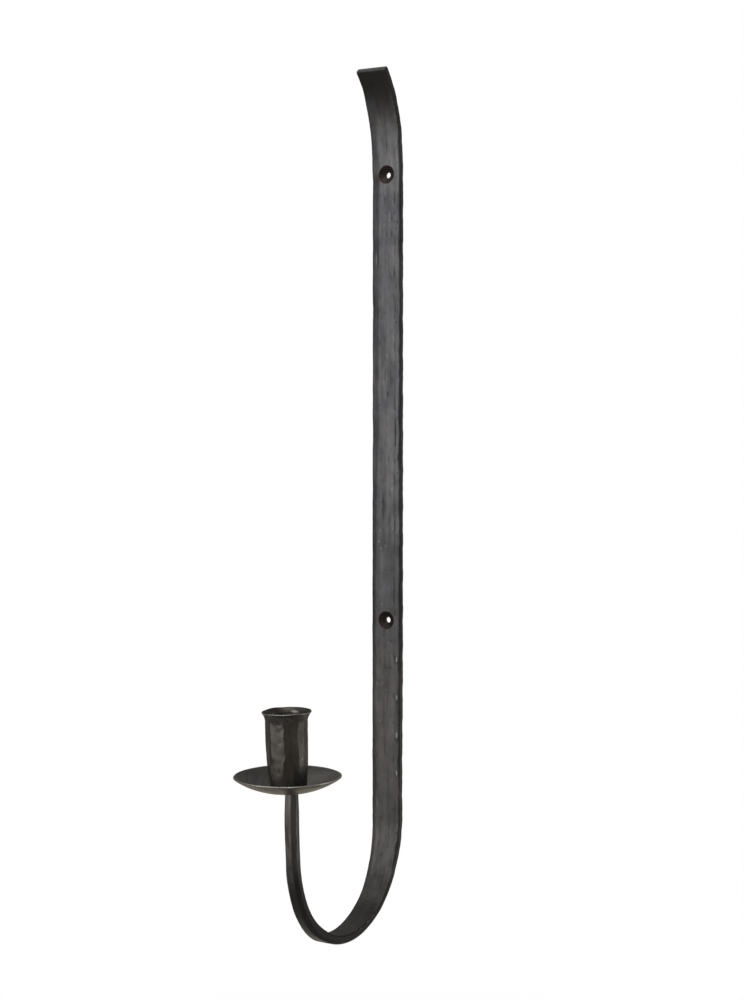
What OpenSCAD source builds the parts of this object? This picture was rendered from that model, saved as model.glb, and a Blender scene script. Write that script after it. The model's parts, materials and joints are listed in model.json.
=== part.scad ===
// Forged wall candle holder. A flat strap screws to the wall, curls forward at its
// top and is drawn out at its foot into a round arm, which bends up and carries a
// drip pan and a candle socket.
// +Z is up, the wall is on the +Y side and the arm stands out towards -Y.
// The origin is on the wall plane, midway between the two screw holes.

/* [Wall strap] */
// Width of the flat bar
strap_w = 20; // [17:0.5:25]
// Thickness of the flat bar
strap_t = 4; // [3.5:0.25:6]
// Rounding of the strap's long edges
edge_r = 0.7; // [0.3:0.1:1.2]
// Flat length from the lower screw hole down to the hook bend
foot_flat = 123.5; // [60:0.5:180]

/* [Wall screw holes] */
// Distance between the centres of the two screw holes
hole_spacing = 274; // [200:1:340]
// Diameter of each screw hole
screw_hole_d = 3.6; // [3.2:0.1:5.5]
// Diameter of the countersink at the face of the strap
sink_d = 11; // [9:0.1:12]
// Full angle of the countersink
sink_angle = 118; // [100:1:120]

/* [Top curl] */
// Distance below the upper screw hole at which the strap starts to leave the wall
ease_below = 6.5; // [0:0.5:12]
// Radius of the gentle first stretch of the curl, at mid-thickness
ease_r = 283; // [150:1:400]
// Angle turned by the gentle first stretch
ease_angle = 5.5; // [2:0.5:10]
// Radius of the curl after it, at mid-thickness
curl_r = 71; // [40:1:120]
// Angle turned by the curl after it
curl_angle = 35; // [15:1:60]

/* [Hook bend] */
// Forward reach of the bend's wall side, from the strap to the lowest point
wall_reach = 53.5; // [40:0.5:75]
// Drop of the bend's wall side
wall_drop = 59.5; // [40:0.5:80]
// Forward reach of the bend's arm side, from the lowest point to the arm
arm_reach = 50.3; // [40:0.5:75]
// Rise of the bend's arm side
arm_rise = 63.5; // [40:0.5:80]

/* [Drawn-out taper] */
// Width of the bar halfway down the bend's wall side
shoulder_w = 16.5; // [14:0.5:22]
// Width of the bar at its lowest point
low_w = 14.5; // [11:0.5:18]
// Thickness of the bar at its lowest point
low_t = 4.5; // [4:0.25:7]
// Corner rounding of the bar at its lowest point
low_r = 1.4; // [0.5:0.1:1.9]
// Width of the bar halfway up the bend's arm side
rise_w = 8.5; // [7:0.1:11]
// Thickness of the bar halfway up the bend's arm side
rise_t = 7; // [6:0.1:9]
// Corner rounding of the bar halfway up the bend's arm side
rise_r = 2.5; // [1.5:0.1:2.9]

/* [Arm] */
// Straight length of the arm above the bend
arm_h = 33; // [24:0.5:70]
// Distance across the arm
arm_d = 7.7; // [7:0.1:10]
// Corner rounding of the arm, nearly half of its size
arm_r = 3.1; // [2:0.1:3.4]
// Distance across the arm's necked end, under the pan
neck_d = 7; // [6.4:0.1:8]
// Length of the necked end
neck_h = 13; // [6:0.5:20]

/* [Drip pan] */
// Diameter of the pan at its rim
pan_d = 61.2; // [54:0.2:80]
// Outer radius of the pan's dished wall
dish_r = 55; // [42:1:90]
// Thickness of the pan's sheet
pan_t = 1; // [0.8:0.1:2]
// Distance by which the pan's centre stands in front of the arm's centre
pan_forward = 3.5; // [0:0.5:4]

/* [Candle socket] */
// Height of the socket above the pan
socket_h = 44; // [36:0.5:60]
// Diameter of the bore that takes the candle
bore_d = 22; // [21.6:0.1:23]
// Length of the cylindrical bore
bore_h = 18; // [12:0.5:24]
// Thickness of the socket's wall
socket_wall = 1.1; // [0.8:0.1:1.5]
// Outer diameter of the socket's foot
foot_d = 21.2; // [19:0.1:23]
// Outer diameter of the flared lip
lip_d = 27.3; // [25.5:0.1:30]
// Height of the flared lip
lip_h = 3.6; // [2:0.1:6]
// Lean of the socket away from the wall
socket_lean = 2; // [0:0.25:3]

/* [Floor and fixing screw] */
// Thickness of the disc in the socket's foot
floor_t = 1.5; // [1:0.1:2.5]
// Diameter of the fixing screw
screw_d = 4; // [3:0.1:4.4]
// Length of the fixing screw under its head
screw_l = 12; // [9:0.5:18]
// Diameter of the screw's head
head_d = 7; // [6:0.1:8]
// Height of the screw's head
head_h = 2.6; // [2:0.1:3.5]
// Width of the slot in the screw's head
slot_w = 1; // [0.6:0.1:1.4]
// Depth of the slot in the screw's head
slot_depth = 1.2; // [0.8:0.1:1.6]
// Clearance all round the screw
screw_gap = 0.05; // [0.03:0.01:0.1]
// Clearance all round the floor disc
floor_gap = 0.1; // [0.08:0.01:0.2]

/* [Hidden] */
$fn = 96;
over = 1;                  // length by which a cut runs past the face that it opens
tip_gap = 1.5;             // empty hole below the fixing screw's tip
edge_steps = 4;            // points on each rounded corner of the bar, less one
bend_step = 7.5;           // degrees between rings in the hook bend
curl_step = 5;             // degrees between rings in the curl, at most
flare_steps = 5;           // bands in the flared lip
dish_steps = 10;           // bands in the pan's dished wall
seat_margin = 0.6;         // flat seat of the pan outside the socket's foot

iron = [0.20, 0.19, 0.19];
dark_iron = [0.15, 0.14, 0.13];
steel = [0.42, 0.42, 0.43];

mid_t = strap_t / 2;
upper_hole_z = hole_spacing / 2;
lower_hole_z = -hole_spacing / 2;
sink_h = (sink_d - screw_hole_d) / 2 / tan(sink_angle / 2);
curl_z = upper_hole_z - ease_below;
bend_z = lower_hole_z - foot_flat;
low_z = bend_z - wall_drop;
low_reach = mid_t + wall_reach;
arm_z = low_z + arm_rise;
arm_axis = low_reach + arm_reach;
arm_top = arm_z + arm_h;
pan_axis = arm_axis + pan_forward;
seat_z = arm_top + pan_t;
seat_r = foot_d / 2 + seat_margin;
bore_r = bore_d / 2;
head_seat_z = seat_z + floor_t;
screw_hole_r = screw_d / 2 + screw_gap;
tapped_depth = screw_l - floor_t - pan_t + tip_gap;

// The bar is a row of stations, from the tip of its curl to the top of its arm:
// [distance from the wall, height, angle of the inner face's normal, width,
// thickness, corner rounding]. The angle is 0 where the inner face looks straight out
// from the wall, 90 where it looks up and 180 where it looks back at the wall.
function flat_station(reach, z, angle) = [reach, z, angle, strap_w, strap_t, edge_r];

function ease_station(a) =
    flat_station(mid_t + ease_r * (1 - cos(a)), curl_z + ease_r * sin(a), -a);

function curl_station(a) =
    let (start = ease_station(ease_angle), end_angle = ease_angle + a)
    flat_station(start[0] + curl_r * (cos(ease_angle) - cos(end_angle)),
                 start[1] + curl_r * (sin(end_angle) - sin(ease_angle)), -end_angle);

// The taper runs from 0 where the strap ends, over 1 at the lowest point, to 2 where
// the arm starts.
function taper_w(u) =
    lookup(u, [[0, strap_w], [0.5, shoulder_w], [1, low_w], [1.5, rise_w], [2, arm_d]]);
function taper_t(u) = lookup(u, [[0, strap_t], [1, low_t], [1.5, rise_t], [2, arm_d]]);
function taper_r(u) = lookup(u, [[0, edge_r], [1, low_r], [1.5, rise_r], [2, arm_r]]);

function wall_side_station(p) =
    [mid_t + wall_reach * (1 - cos(p)), bend_z - wall_drop * sin(p),
     atan2(wall_reach * sin(p), wall_drop * cos(p)),
     taper_w(p / 90), taper_t(p / 90), taper_r(p / 90)];

function arm_side_station(p) =
    [low_reach + arm_reach * sin(p), low_z + arm_rise * (1 - cos(p)),
     atan2(arm_reach * cos(p), -arm_rise * sin(p)),
     taper_w(1 + p / 90), taper_t(1 + p / 90), taper_r(1 + p / 90)];

function arm_station(z, d) = [arm_axis, z, 180, d, d, arm_r];

curl_rings = ceil(curl_angle / curl_step);
ease_rings = ceil(ease_angle / curl_step);
bend_rings = round(90 / bend_step);

bar_stations = [
    for (i = [curl_rings:-1:1]) curl_station(curl_angle * i / curl_rings),
    for (i = [ease_rings:-1:0]) ease_station(ease_angle * i / ease_rings),
    for (i = [0:bend_rings]) wall_side_station(90 * i / bend_rings),
    for (i = [1:bend_rings]) arm_side_station(90 * i / bend_rings),
    arm_station(arm_top - neck_h, arm_d),
    arm_station(arm_top, neck_d)
];

// Outline of the bar across its length: a rectangle with rounded corners
function bar_outline(w, t, r) = [
    for (corner = [0:3], i = [0:edge_steps])
        let (a = 90 * (corner + i / edge_steps), diagonal = 90 * corner + 45)
        [sign(cos(diagonal)) * (w / 2 - r) + r * cos(a),
         sign(sin(diagonal)) * (t / 2 - r) + r * sin(a)]
];

function bar_ring(s) = [
    for (q = bar_outline(s[3], s[4], s[5]))
        [q[0], -(s[0] + q[1] * cos(s[2])), s[1] + q[1] * sin(s[2])]
];

module swept_bar(stations) {
    sides = 4 * (edge_steps + 1);
    last = len(stations) - 1;
    points = [for (s = stations) each bar_ring(s)];
    start_cap = [for (i = [sides - 1:-1:0]) i];
    end_cap = [for (i = [0:sides - 1]) last * sides + i];
    walls = [
        for (k = [0:last - 1], i = [0:sides - 1])
            let (a = k * sides + i, b = k * sides + (i + 1) % sides)
            each [[a, b, b + sides], [a, b + sides, a + sides]]
    ];
    polyhedron(points, concat([start_cap], walls, [end_cap]), convexity = 8);
}

// Screw hole with its countersink, drawn along +Z from the wall plane
module wall_screw_hole() {
    sink_r = sink_d / 2;
    hole_r = screw_hole_d / 2;
    slope = (sink_r - hole_r) / sink_h;
    rotate_extrude()
        polygon([
            [0, -over], [hole_r, -over], [hole_r, strap_t - sink_h],
            [sink_r + over * slope, strap_t + over], [0, strap_t + over]
        ]);
}

module hook_bar() {
    color(iron)
        difference() {
            swept_bar(bar_stations);
            for (z = [lower_hole_z, upper_hole_z])
                translate([0, 0, z]) rotate([90, 0, 0]) wall_screw_hole();
            translate([0, -arm_axis, arm_top - tapped_depth])
                cylinder(r = screw_hole_r, h = tapped_depth + over);
        }
}

// The pan is part of a sphere, with its middle set flat where the socket stands. The
// sphere's centre is above the flat seat's underside.
dish_centre_z = sqrt(dish_r * dish_r - seat_r * seat_r);

// A point on a sphere of radius r, from the one where it meets height z to the rim
function dish_point(i, r, z) =
    let (a = acos((dish_centre_z - z) / r), rim_a = asin(pan_d / 2 / dish_r),
         here = a + (rim_a - a) * i / dish_steps)
    [r * sin(here), dish_centre_z - r * cos(here)];

module drip_pan() {
    color(dark_iron)
        translate([0, -pan_axis, arm_top])
            difference() {
                rotate_extrude()
                    polygon(concat(
                        [[0, 0]], [for (i = [0:dish_steps]) dish_point(i, dish_r, 0)],
                        [for (i = [dish_steps:-1:0]) dish_point(i, dish_r - pan_t, pan_t)],
                        [[0, pan_t]]
                    ));
                translate([0, pan_forward, -over])
                    cylinder(r = screw_hole_r, h = pan_t + 2 * over);
            }
}

// The socket's wall is cylindrical over the bore, flares out above it to the lip and
// tapers below it to the foot.
module socket_tube() {
    flare_z = socket_h - lip_h;
    bore_z = flare_z - bore_h;
    outer_r = bore_r + socket_wall;
    flare = lip_d / 2 - outer_r;
    foot_r = foot_d / 2 - over * (outer_r - foot_d / 2) / bore_z;
    function flare_point(i, r) =
        [r + flare * (1 - cos(90 * i / flare_steps)),
         flare_z + lip_h * sin(90 * i / flare_steps)];
    rotate_extrude()
        polygon(concat(
            [[foot_r, -over], [outer_r, bore_z]],
            [for (i = [0:flare_steps]) flare_point(i, outer_r)],
            [for (i = [flare_steps:-1:0]) flare_point(i, bore_r)],
            [[bore_r, bore_z], [foot_r - socket_wall, -over]]
        ));
}

// The leaning tube is cut off level where it stands on the pan.
module candle_socket() {
    color(dark_iron)
        translate([0, -pan_axis, seat_z])
            difference() {
                rotate([socket_lean, 0, 0]) socket_tube();
                translate([-lip_d, -lip_d, -3 * over]) cube([2 * lip_d, 2 * lip_d, 3 * over]);
            }
}

module socket_floor() {
    color(dark_iron)
        difference() {
            translate([0, -pan_axis, seat_z])
                cylinder(r = foot_d / 2 - socket_wall - floor_gap, h = floor_t);
            translate([0, -arm_axis, seat_z - over])
                cylinder(r = screw_hole_r, h = floor_t + 2 * over);
        }
}

module fixing_screw() {
    color(steel)
        translate([0, -arm_axis, head_seat_z])
            difference() {
                union() {
                    translate([0, 0, -screw_l]) cylinder(d = screw_d, h = screw_l + head_h / 2);
                    cylinder(d = head_d, h = head_h);
                }
                translate([0, 0, head_h - slot_depth + over])
                    cube([head_d + 2 * over, slot_w, slot_depth * 2], center = true);
            }
}

hook_bar();
drip_pan();
candle_socket();
socket_floor();
fixing_screw();
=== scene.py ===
"""A forged wall candle holder, dressed for rendering.

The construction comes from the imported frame: where the strap, the bend, the arm, the drip
pan and the candle socket lie, and how large they are. This script replaces the plain solids
with hammered meshes in the same places, gives them blackened-iron finishes and sets up the
studio. Lengths in the classes are in millimetres, except where a line says metres, and
meshes are built in metres.
"""

from __future__ import annotations

import json
import logging
import math
from dataclasses import dataclass
from enum import Enum
from typing import Any, Callable, Sequence

import bmesh
import bpy
import numpy as np
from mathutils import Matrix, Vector

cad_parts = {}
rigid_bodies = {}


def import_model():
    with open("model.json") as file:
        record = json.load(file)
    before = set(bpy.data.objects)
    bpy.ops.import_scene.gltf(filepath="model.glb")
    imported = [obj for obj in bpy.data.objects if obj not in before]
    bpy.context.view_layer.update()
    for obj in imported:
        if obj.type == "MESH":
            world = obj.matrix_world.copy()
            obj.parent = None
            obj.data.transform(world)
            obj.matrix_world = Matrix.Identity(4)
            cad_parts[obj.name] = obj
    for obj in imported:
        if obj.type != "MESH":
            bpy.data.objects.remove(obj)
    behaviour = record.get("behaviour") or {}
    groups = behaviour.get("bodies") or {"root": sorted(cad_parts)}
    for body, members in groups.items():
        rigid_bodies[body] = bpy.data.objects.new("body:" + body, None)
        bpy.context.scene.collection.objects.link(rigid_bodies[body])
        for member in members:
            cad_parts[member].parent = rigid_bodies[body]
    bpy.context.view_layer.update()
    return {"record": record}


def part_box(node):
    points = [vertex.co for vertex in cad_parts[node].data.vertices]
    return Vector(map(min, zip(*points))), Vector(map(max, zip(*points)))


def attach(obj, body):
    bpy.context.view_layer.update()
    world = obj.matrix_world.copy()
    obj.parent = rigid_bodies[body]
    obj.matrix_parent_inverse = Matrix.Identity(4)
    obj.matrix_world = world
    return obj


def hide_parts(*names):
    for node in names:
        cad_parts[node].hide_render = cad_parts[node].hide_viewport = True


log = logging.getLogger("wall_candle_holder")

MM = 0.001
BODY = "root"
TURN = 2 * math.pi
VIEW_AZIMUTH = 32.0
LEFT_EDGE = VIEW_AZIMUTH - 90.0
RIGHT_EDGE = VIEW_AZIMUTH + 90.0
SCREW_BORE_R = 2.05
AXIS_R = 0.01

Colour = tuple[float, float, float, float]
Span = tuple[float, float]


class Slot(Enum):
    """The record's material slots."""

    FORGED_IRON = "forged_iron"
    SHEET_IRON = "sheet_iron"
    SCREW_STEEL = "screw_steel"


# Shader graphs


class Signal:
    """One output of a shader node, which takes part in ordinary arithmetic."""

    def __init__(self, graph: Graph, socket: bpy.types.NodeSocket | None) -> None:
        """Wraps a socket.

        Args:
            graph: the graph that the socket's node belongs to.
            socket: the output socket. A node that ends a graph has none.
        """
        self.graph = graph
        self.socket = socket

    def __add__(self, other: Signal | float) -> Signal:
        """self + other."""
        return self.graph.math("ADD", self, other)

    def __radd__(self, other: float) -> Signal:
        """other + self."""
        return self.graph.math("ADD", other, self)

    def __sub__(self, other: Signal | float) -> Signal:
        """self - other."""
        return self.graph.math("SUBTRACT", self, other)

    def __rsub__(self, other: float) -> Signal:
        """other - self."""
        return self.graph.math("SUBTRACT", other, self)

    def __mul__(self, other: Signal | float) -> Signal:
        """self * other."""
        return self.graph.math("MULTIPLY", self, other)

    def __rmul__(self, other: float) -> Signal:
        """other * self."""
        return self.graph.math("MULTIPLY", other, self)

    def __abs__(self) -> Signal:
        """The value without its sign."""
        return self.graph.math("ABSOLUTE", self, 0.0)

    def smooth(self, low: float, high: float) -> Signal:
        """A soft step from 0 at low to 1 at high.

        Args:
            low: the value that gives 0.
            high: the value that gives 1. It may be less than low.

        Returns:
            The step as a new signal.
        """
        if low > high:
            return 1.0 - self.smooth(high, low)
        settings = {"interpolation_type": "SMOOTHSTEP"}
        values = {"Value": self, "From Min": low, "From Max": high}
        return self.graph.add("ShaderNodeMapRange", settings, values)


class Graph:
    """Adds and links the nodes of one shader."""

    def __init__(self, tree: bpy.types.NodeTree) -> None:
        """Starts from an empty tree.

        Args:
            tree: the node tree, whose nodes are removed.
        """
        self.tree = tree
        tree.nodes.clear()

    def add(
        self,
        kind: str,
        settings: dict[str, Any] | None = None,
        values: dict[str | int, Any] | None = None,
        output: str | int = 0,
    ) -> Signal:
        """Adds any node.

        Args:
            kind: the node's type.
            settings: its properties, set before its sockets.
            values: numbers, colours or signals for its sockets, by name or place.
            output: the output that is returned.

        Returns:
            The output as a signal.
        """
        node = self.tree.nodes.new(kind)
        for name, value in (settings or {}).items():
            setattr(node, name, value)
        for name, value in (values or {}).items():
            if isinstance(value, Signal):
                self.tree.links.new(value.socket, node.inputs[name])
            else:
                node.inputs[name].default_value = value
        return Signal(self, node.outputs[output] if node.outputs else None)

    def math(self, operation: str, a: Signal | float, b: Signal | float) -> Signal:
        """A Math node on two values."""
        return self.add("ShaderNodeMath", {"operation": operation}, {0: a, 1: b})

    def clamp(self, value: Signal) -> Signal:
        """The value kept between 0 and 1."""
        return self.add("ShaderNodeClamp", None, {"Value": value})

    def mix(self, share: Signal, a: Any, b: Any) -> Signal:
        """Colour a where share is 0 and colour b where it is 1."""
        return self.add("ShaderNodeMix", {"data_type": "RGBA"}, {0: share, 6: a, 7: b}, 2)

    def stretch(self, vector: Signal, x: float, y: float, z: float) -> Signal:
        """The vector with each part multiplied."""
        settings = {"operation": "MULTIPLY"}
        return self.add("ShaderNodeVectorMath", settings, {0: vector, 1: (x, y, z)})

    def parts(self, vector: Signal) -> tuple[Signal, Signal, Signal]:
        """Takes a vector apart.

        Args:
            vector: the vector.

        Returns:
            Its x, y and z.
        """
        node = self.add("ShaderNodeSeparateXYZ", None, {0: vector}).socket.node
        x, y, z = (Signal(self, output) for output in node.outputs)
        return x, y, z

    def noise(self, vector: Signal, detail: float = 3.0, rough: float = 0.55) -> Signal:
        """Smooth noise from 0 to 1, with features about one unit of the vector across."""
        values = {"Vector": vector, "Scale": 1.0, "Detail": detail, "Roughness": rough}
        return self.add("ShaderNodeTexNoise", None, values)

    def cells(self, vector: Signal) -> Signal:
        """The distance to the nearest of a set of scattered points."""
        return self.add("ShaderNodeTexVoronoi", None, {"Vector": vector, "Scale": 1.0})

    def object_mm(self) -> Signal:
        """The place on the object, in millimetres."""
        place = self.add("ShaderNodeTexCoord", None, None, "Object")
        return self.stretch(place, 1 / MM, 1 / MM, 1 / MM)

    def grain_mm(self) -> Signal:
        """The place along the surface, across and along the metal's grain, in millimetres."""
        return self.stretch(self.add("ShaderNodeUVMap", {"uv_map": "grain"}), 1 / MM, 1 / MM, 0)

    def edges(self, low: float, high: float) -> Signal:
        """1 on the convex edges of the mesh and 0 away from them."""
        return self.add("ShaderNodeNewGeometry", None, None, "Pointiness").smooth(low, high)

    def normal(self) -> Signal:
        """The direction that the surface faces."""
        return self.add("ShaderNodeNewGeometry", None, None, "Normal")

    def principled(self, values: dict[str | int, Any]) -> None:
        """Ends the graph in one Principled shader with these values."""
        skin = self.add("ShaderNodeBsdfPrincipled", None, values)
        self.add("ShaderNodeOutputMaterial", None, {"Surface": skin})


Mask = Callable[[Graph], Signal]


def blank_material(name: str) -> tuple[bpy.types.Material, Graph]:
    """Makes a material with an empty graph.

    Args:
        name: the material's name.

    Returns:
        The material and its graph.
    """
    material = bpy.data.materials.new(name)
    material.use_nodes = True
    return material, Graph(material.node_tree)


# Finishes


BLACK_WAX: Colour = (0.019, 0.016, 0.015, 1.0)
RUST: Colour = (0.085, 0.052, 0.042, 1.0)


class IronMarks:
    """The noises that the marks on blackened iron are made from.

    Each stretch is in cycles per millimetre, mostly across the metal's grain and along it.
    """

    def __init__(self, graph: Graph) -> None:
        """Adds the noises.

        Args:
            graph: the graph that they are added to.
        """
        place, grain = graph.object_mm(), graph.grain_mm()
        self.height = graph.parts(place)[2]
        self.broad = graph.noise(graph.stretch(grain, 0.17, 0.020, 1.0), 4.0)
        self.lines = graph.noise(graph.stretch(grain, 0.42, 0.020, 1.0), 1.6)
        self.fine = graph.noise(graph.stretch(grain, 1.7, 0.13, 1.0), 2.0)
        self.clouds = graph.noise(graph.stretch(grain, 0.14, 0.08, 1.0), 4.0, 0.6)
        smudges = graph.noise(graph.stretch(grain, 0.42, 0.11, 1.0), 3.0)
        self.smudges = smudges.smooth(0.54, 0.68)
        self.grit = graph.noise(graph.stretch(place, 2.6, 2.6, 2.6), 3.0, 0.7)
        self.patches = graph.noise(graph.stretch(place, 0.11, 0.11, 0.05), 3.0)
        pits = graph.cells(graph.stretch(grain, 0.34, 0.16, 1.0))
        self.pits = pits.smooth(0.17, 0.07) * self.patches.smooth(0.44, 0.6)
        specks = graph.cells(graph.stretch(grain, 0.22, 0.11, 1.0))
        self.specks = specks.smooth(0.15, 0.06) * self.patches.smooth(0.52, 0.46)


@dataclass(frozen=True)
class Tone:
    """A colour that the worn metal takes on lower down: painted shade along the height.

    Attributes:
        colour: the colour.
        heights: where it starts and where it is full.
    """

    colour: Colour
    heights: Span


@dataclass(frozen=True)
class BlackenedIron:
    """Forged or rolled iron, blackened with scale and wax and rubbed bright in places, with painted
    shade and painted highlights.

    Attributes:
        slot: the record's slot that it fills.
        scale: the colour of the whole black skin.
        worn: the colour where the skin is rubbed thin.
        tint: a second worn colour, in patches.
        edge: the colour of bare edges and specks, and of the painted highlights.
        roughness: of the surface, before its marks are added.
        wear: how far the skin is rubbed thin, from 0 to 1.
        streaks: how strongly the wear follows the metal's grain.
        scale_and_shade: where the skin is still whole, and where shade is painted as that skin.
        burnish_and_highlight: where the metal is rubbed as bright as an edge, and where highlights
            are painted so.
        grime: where old wax and rust lie over everything.
        tones: how the worn colour darkens with the height, as painted shade, with a warmer hue
            lower down.
        metallic: how far the surface is bare metal.
        specular: the strength of the wax's own shine.
        bump: the strength of the fine relief.
    """

    slot: Slot
    scale: Colour
    worn: Colour
    tint: Colour
    edge: Colour
    roughness: float
    wear: float
    streaks: float
    scale_and_shade: Mask
    burnish_and_highlight: Mask
    grime: Mask | None = None
    tones: tuple[Tone, ...] = ()
    metallic: float = 0.92
    specular: float = 0.4
    bump: float = 0.8

    def build(self) -> bpy.types.Material:
        """Makes the material.

        Returns:
            The new material, named for its slot.
        """
        material, graph = blank_material(self.slot.value)
        marks = IronMarks(graph)
        scale_and_shade = self.scale_and_shade(graph)
        edges = graph.edges(0.522, 0.558) * marks.grit.smooth(0.25, 0.55)
        # Painted highlights join the bare edges here, as bright smooth metal.
        edges = graph.clamp(edges + marks.specks * 0.35 + self.burnish_and_highlight(graph))
        # Painted shade dims the bare edges too.
        edges = edges * (1.0 - graph.clamp(scale_and_shade))
        rubbed = self._rubbed(graph, marks, scale_and_shade)
        colour = self._colour(graph, marks, rubbed, edges)
        rough = ((marks.patches - 0.5) * 0.16 + (marks.lines - 0.5) * 0.18) * (1.0 - edges)
        rough = rough + self.roughness - rubbed * 0.06 - edges * 0.12 + marks.pits * 0.15
        if self.grime is not None:
            grime = self.grime(graph)
            crust = graph.mix(marks.grit.smooth(0.45, 0.65), BLACK_WAX, RUST)
            colour = graph.mix(grime * 0.92, colour, crust)
            rough = rough + grime * 0.22
        graph.principled(
            {
                "Base Color": colour,
                "Metallic": self.metallic,
                "Roughness": rough,
                "Normal": self._relief(graph, marks),
                "Specular IOR Level": self.specular,
            }
        )
        return material

    def _rubbed(self, graph: Graph, marks: IronMarks, scale_and_shade: Signal) -> Signal:
        """How far the skin is rubbed thin.

        Args:
            graph: the material's graph.
            marks: its noises.
            scale_and_shade: where the skin is whole, and where shade is painted.

        Returns:
            0 where it is whole and 1 where it is rubbed thin.
        """
        swing = (marks.broad - 0.5) * 0.8 + (marks.lines - 0.5) * self.streaks
        swing = swing + (marks.clouds - 0.5) * 0.9 + (marks.fine - 0.5) * 0.12
        swing = swing + (marks.grit - 0.5) * 0.2 - marks.smudges * 0.16
        swing = swing * (1.0 - graph.clamp(scale_and_shade * 1.5)) - scale_and_shade
        return graph.clamp(swing + self.wear)

    def _colour(self, graph: Graph, marks: IronMarks, rubbed: Signal, edges: Signal) -> Signal:
        """The colour of the clean metal and its skin.

        Args:
            graph: the material's graph.
            marks: its noises.
            rubbed: how far the skin is rubbed thin.
            edges: where the metal is bare, and where highlights are painted.

        Returns:
            The colour.
        """
        bare = graph.mix(marks.patches.smooth(0.38, 0.66), self.worn, self.tint)
        # Painted shade: the worn colour darkens down the strap.
        for tone in self.tones:
            bare = graph.mix(marks.height.smooth(*tone.heights), bare, tone.colour)
        colour = graph.mix(rubbed, self.scale, bare)
        colour = graph.mix(marks.pits * 0.8, colour, self.scale)
        return graph.mix(edges, colour, self.edge)

    def _relief(self, graph: Graph, marks: IronMarks) -> Signal:
        """The fine relief that is too small for the mesh.

        Args:
            graph: the material's graph.
            marks: its noises.

        Returns:
            The bumped normal.
        """
        height = (marks.broad - 0.5) * 0.05 + (marks.lines - 0.5) * 0.016
        height = height + (marks.clouds - 0.5) * 0.035 + (marks.grit - 0.5) * 0.02
        height = height - marks.pits * 0.07 + marks.specks * 0.02
        values = {"Height": height, "Strength": self.bump, "Distance": MM}
        return graph.add("ShaderNodeBump", None, values)


@dataclass(frozen=True)
class TurnedSteel:
    """Plain steel with fine turning marks, for the hidden screw.

    Attributes:
        slot: the record's slot that it fills.
        colour: of the clean metal.
        roughness: of the surface, before its marks are added.
        stain: how dark the stains are, as a share of the colour.
    """

    slot: Slot
    colour: Colour
    roughness: float
    stain: float = 0.35

    def build(self) -> bpy.types.Material:
        """Makes the material.

        Returns:
            The new material, named for its slot.
        """
        material, graph = blank_material(self.slot.value)
        place = graph.object_mm()
        turned = graph.noise(graph.stretch(place, 0.6, 0.6, 14.0), 2.0)
        stains = graph.noise(graph.stretch(place, 0.9, 0.9, 0.9), 3.0)
        dark = tuple(self.stain * part for part in self.colour[:3]) + (1.0,)
        colour = graph.mix(stains.smooth(0.45, 0.7), self.colour, dark)
        rough = self.roughness + (turned - 0.5) * 0.2 + (stains - 0.5) * 0.3
        bump = graph.add("ShaderNodeBump", None, {"Height": turned * 0.02, "Distance": MM})
        values = {"Base Color": colour, "Metallic": 1.0, "Roughness": rough, "Normal": bump}
        graph.principled(values)
        return material


# Where the finishes change, in millimetres. Each span starts a part of a mask at its first
# value and fills it at its second, and each share is how strong that part gets.


# How far in front of the wall the marks on the strap's face begin.
FACE: Span = (-0.8, -1.5)


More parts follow.
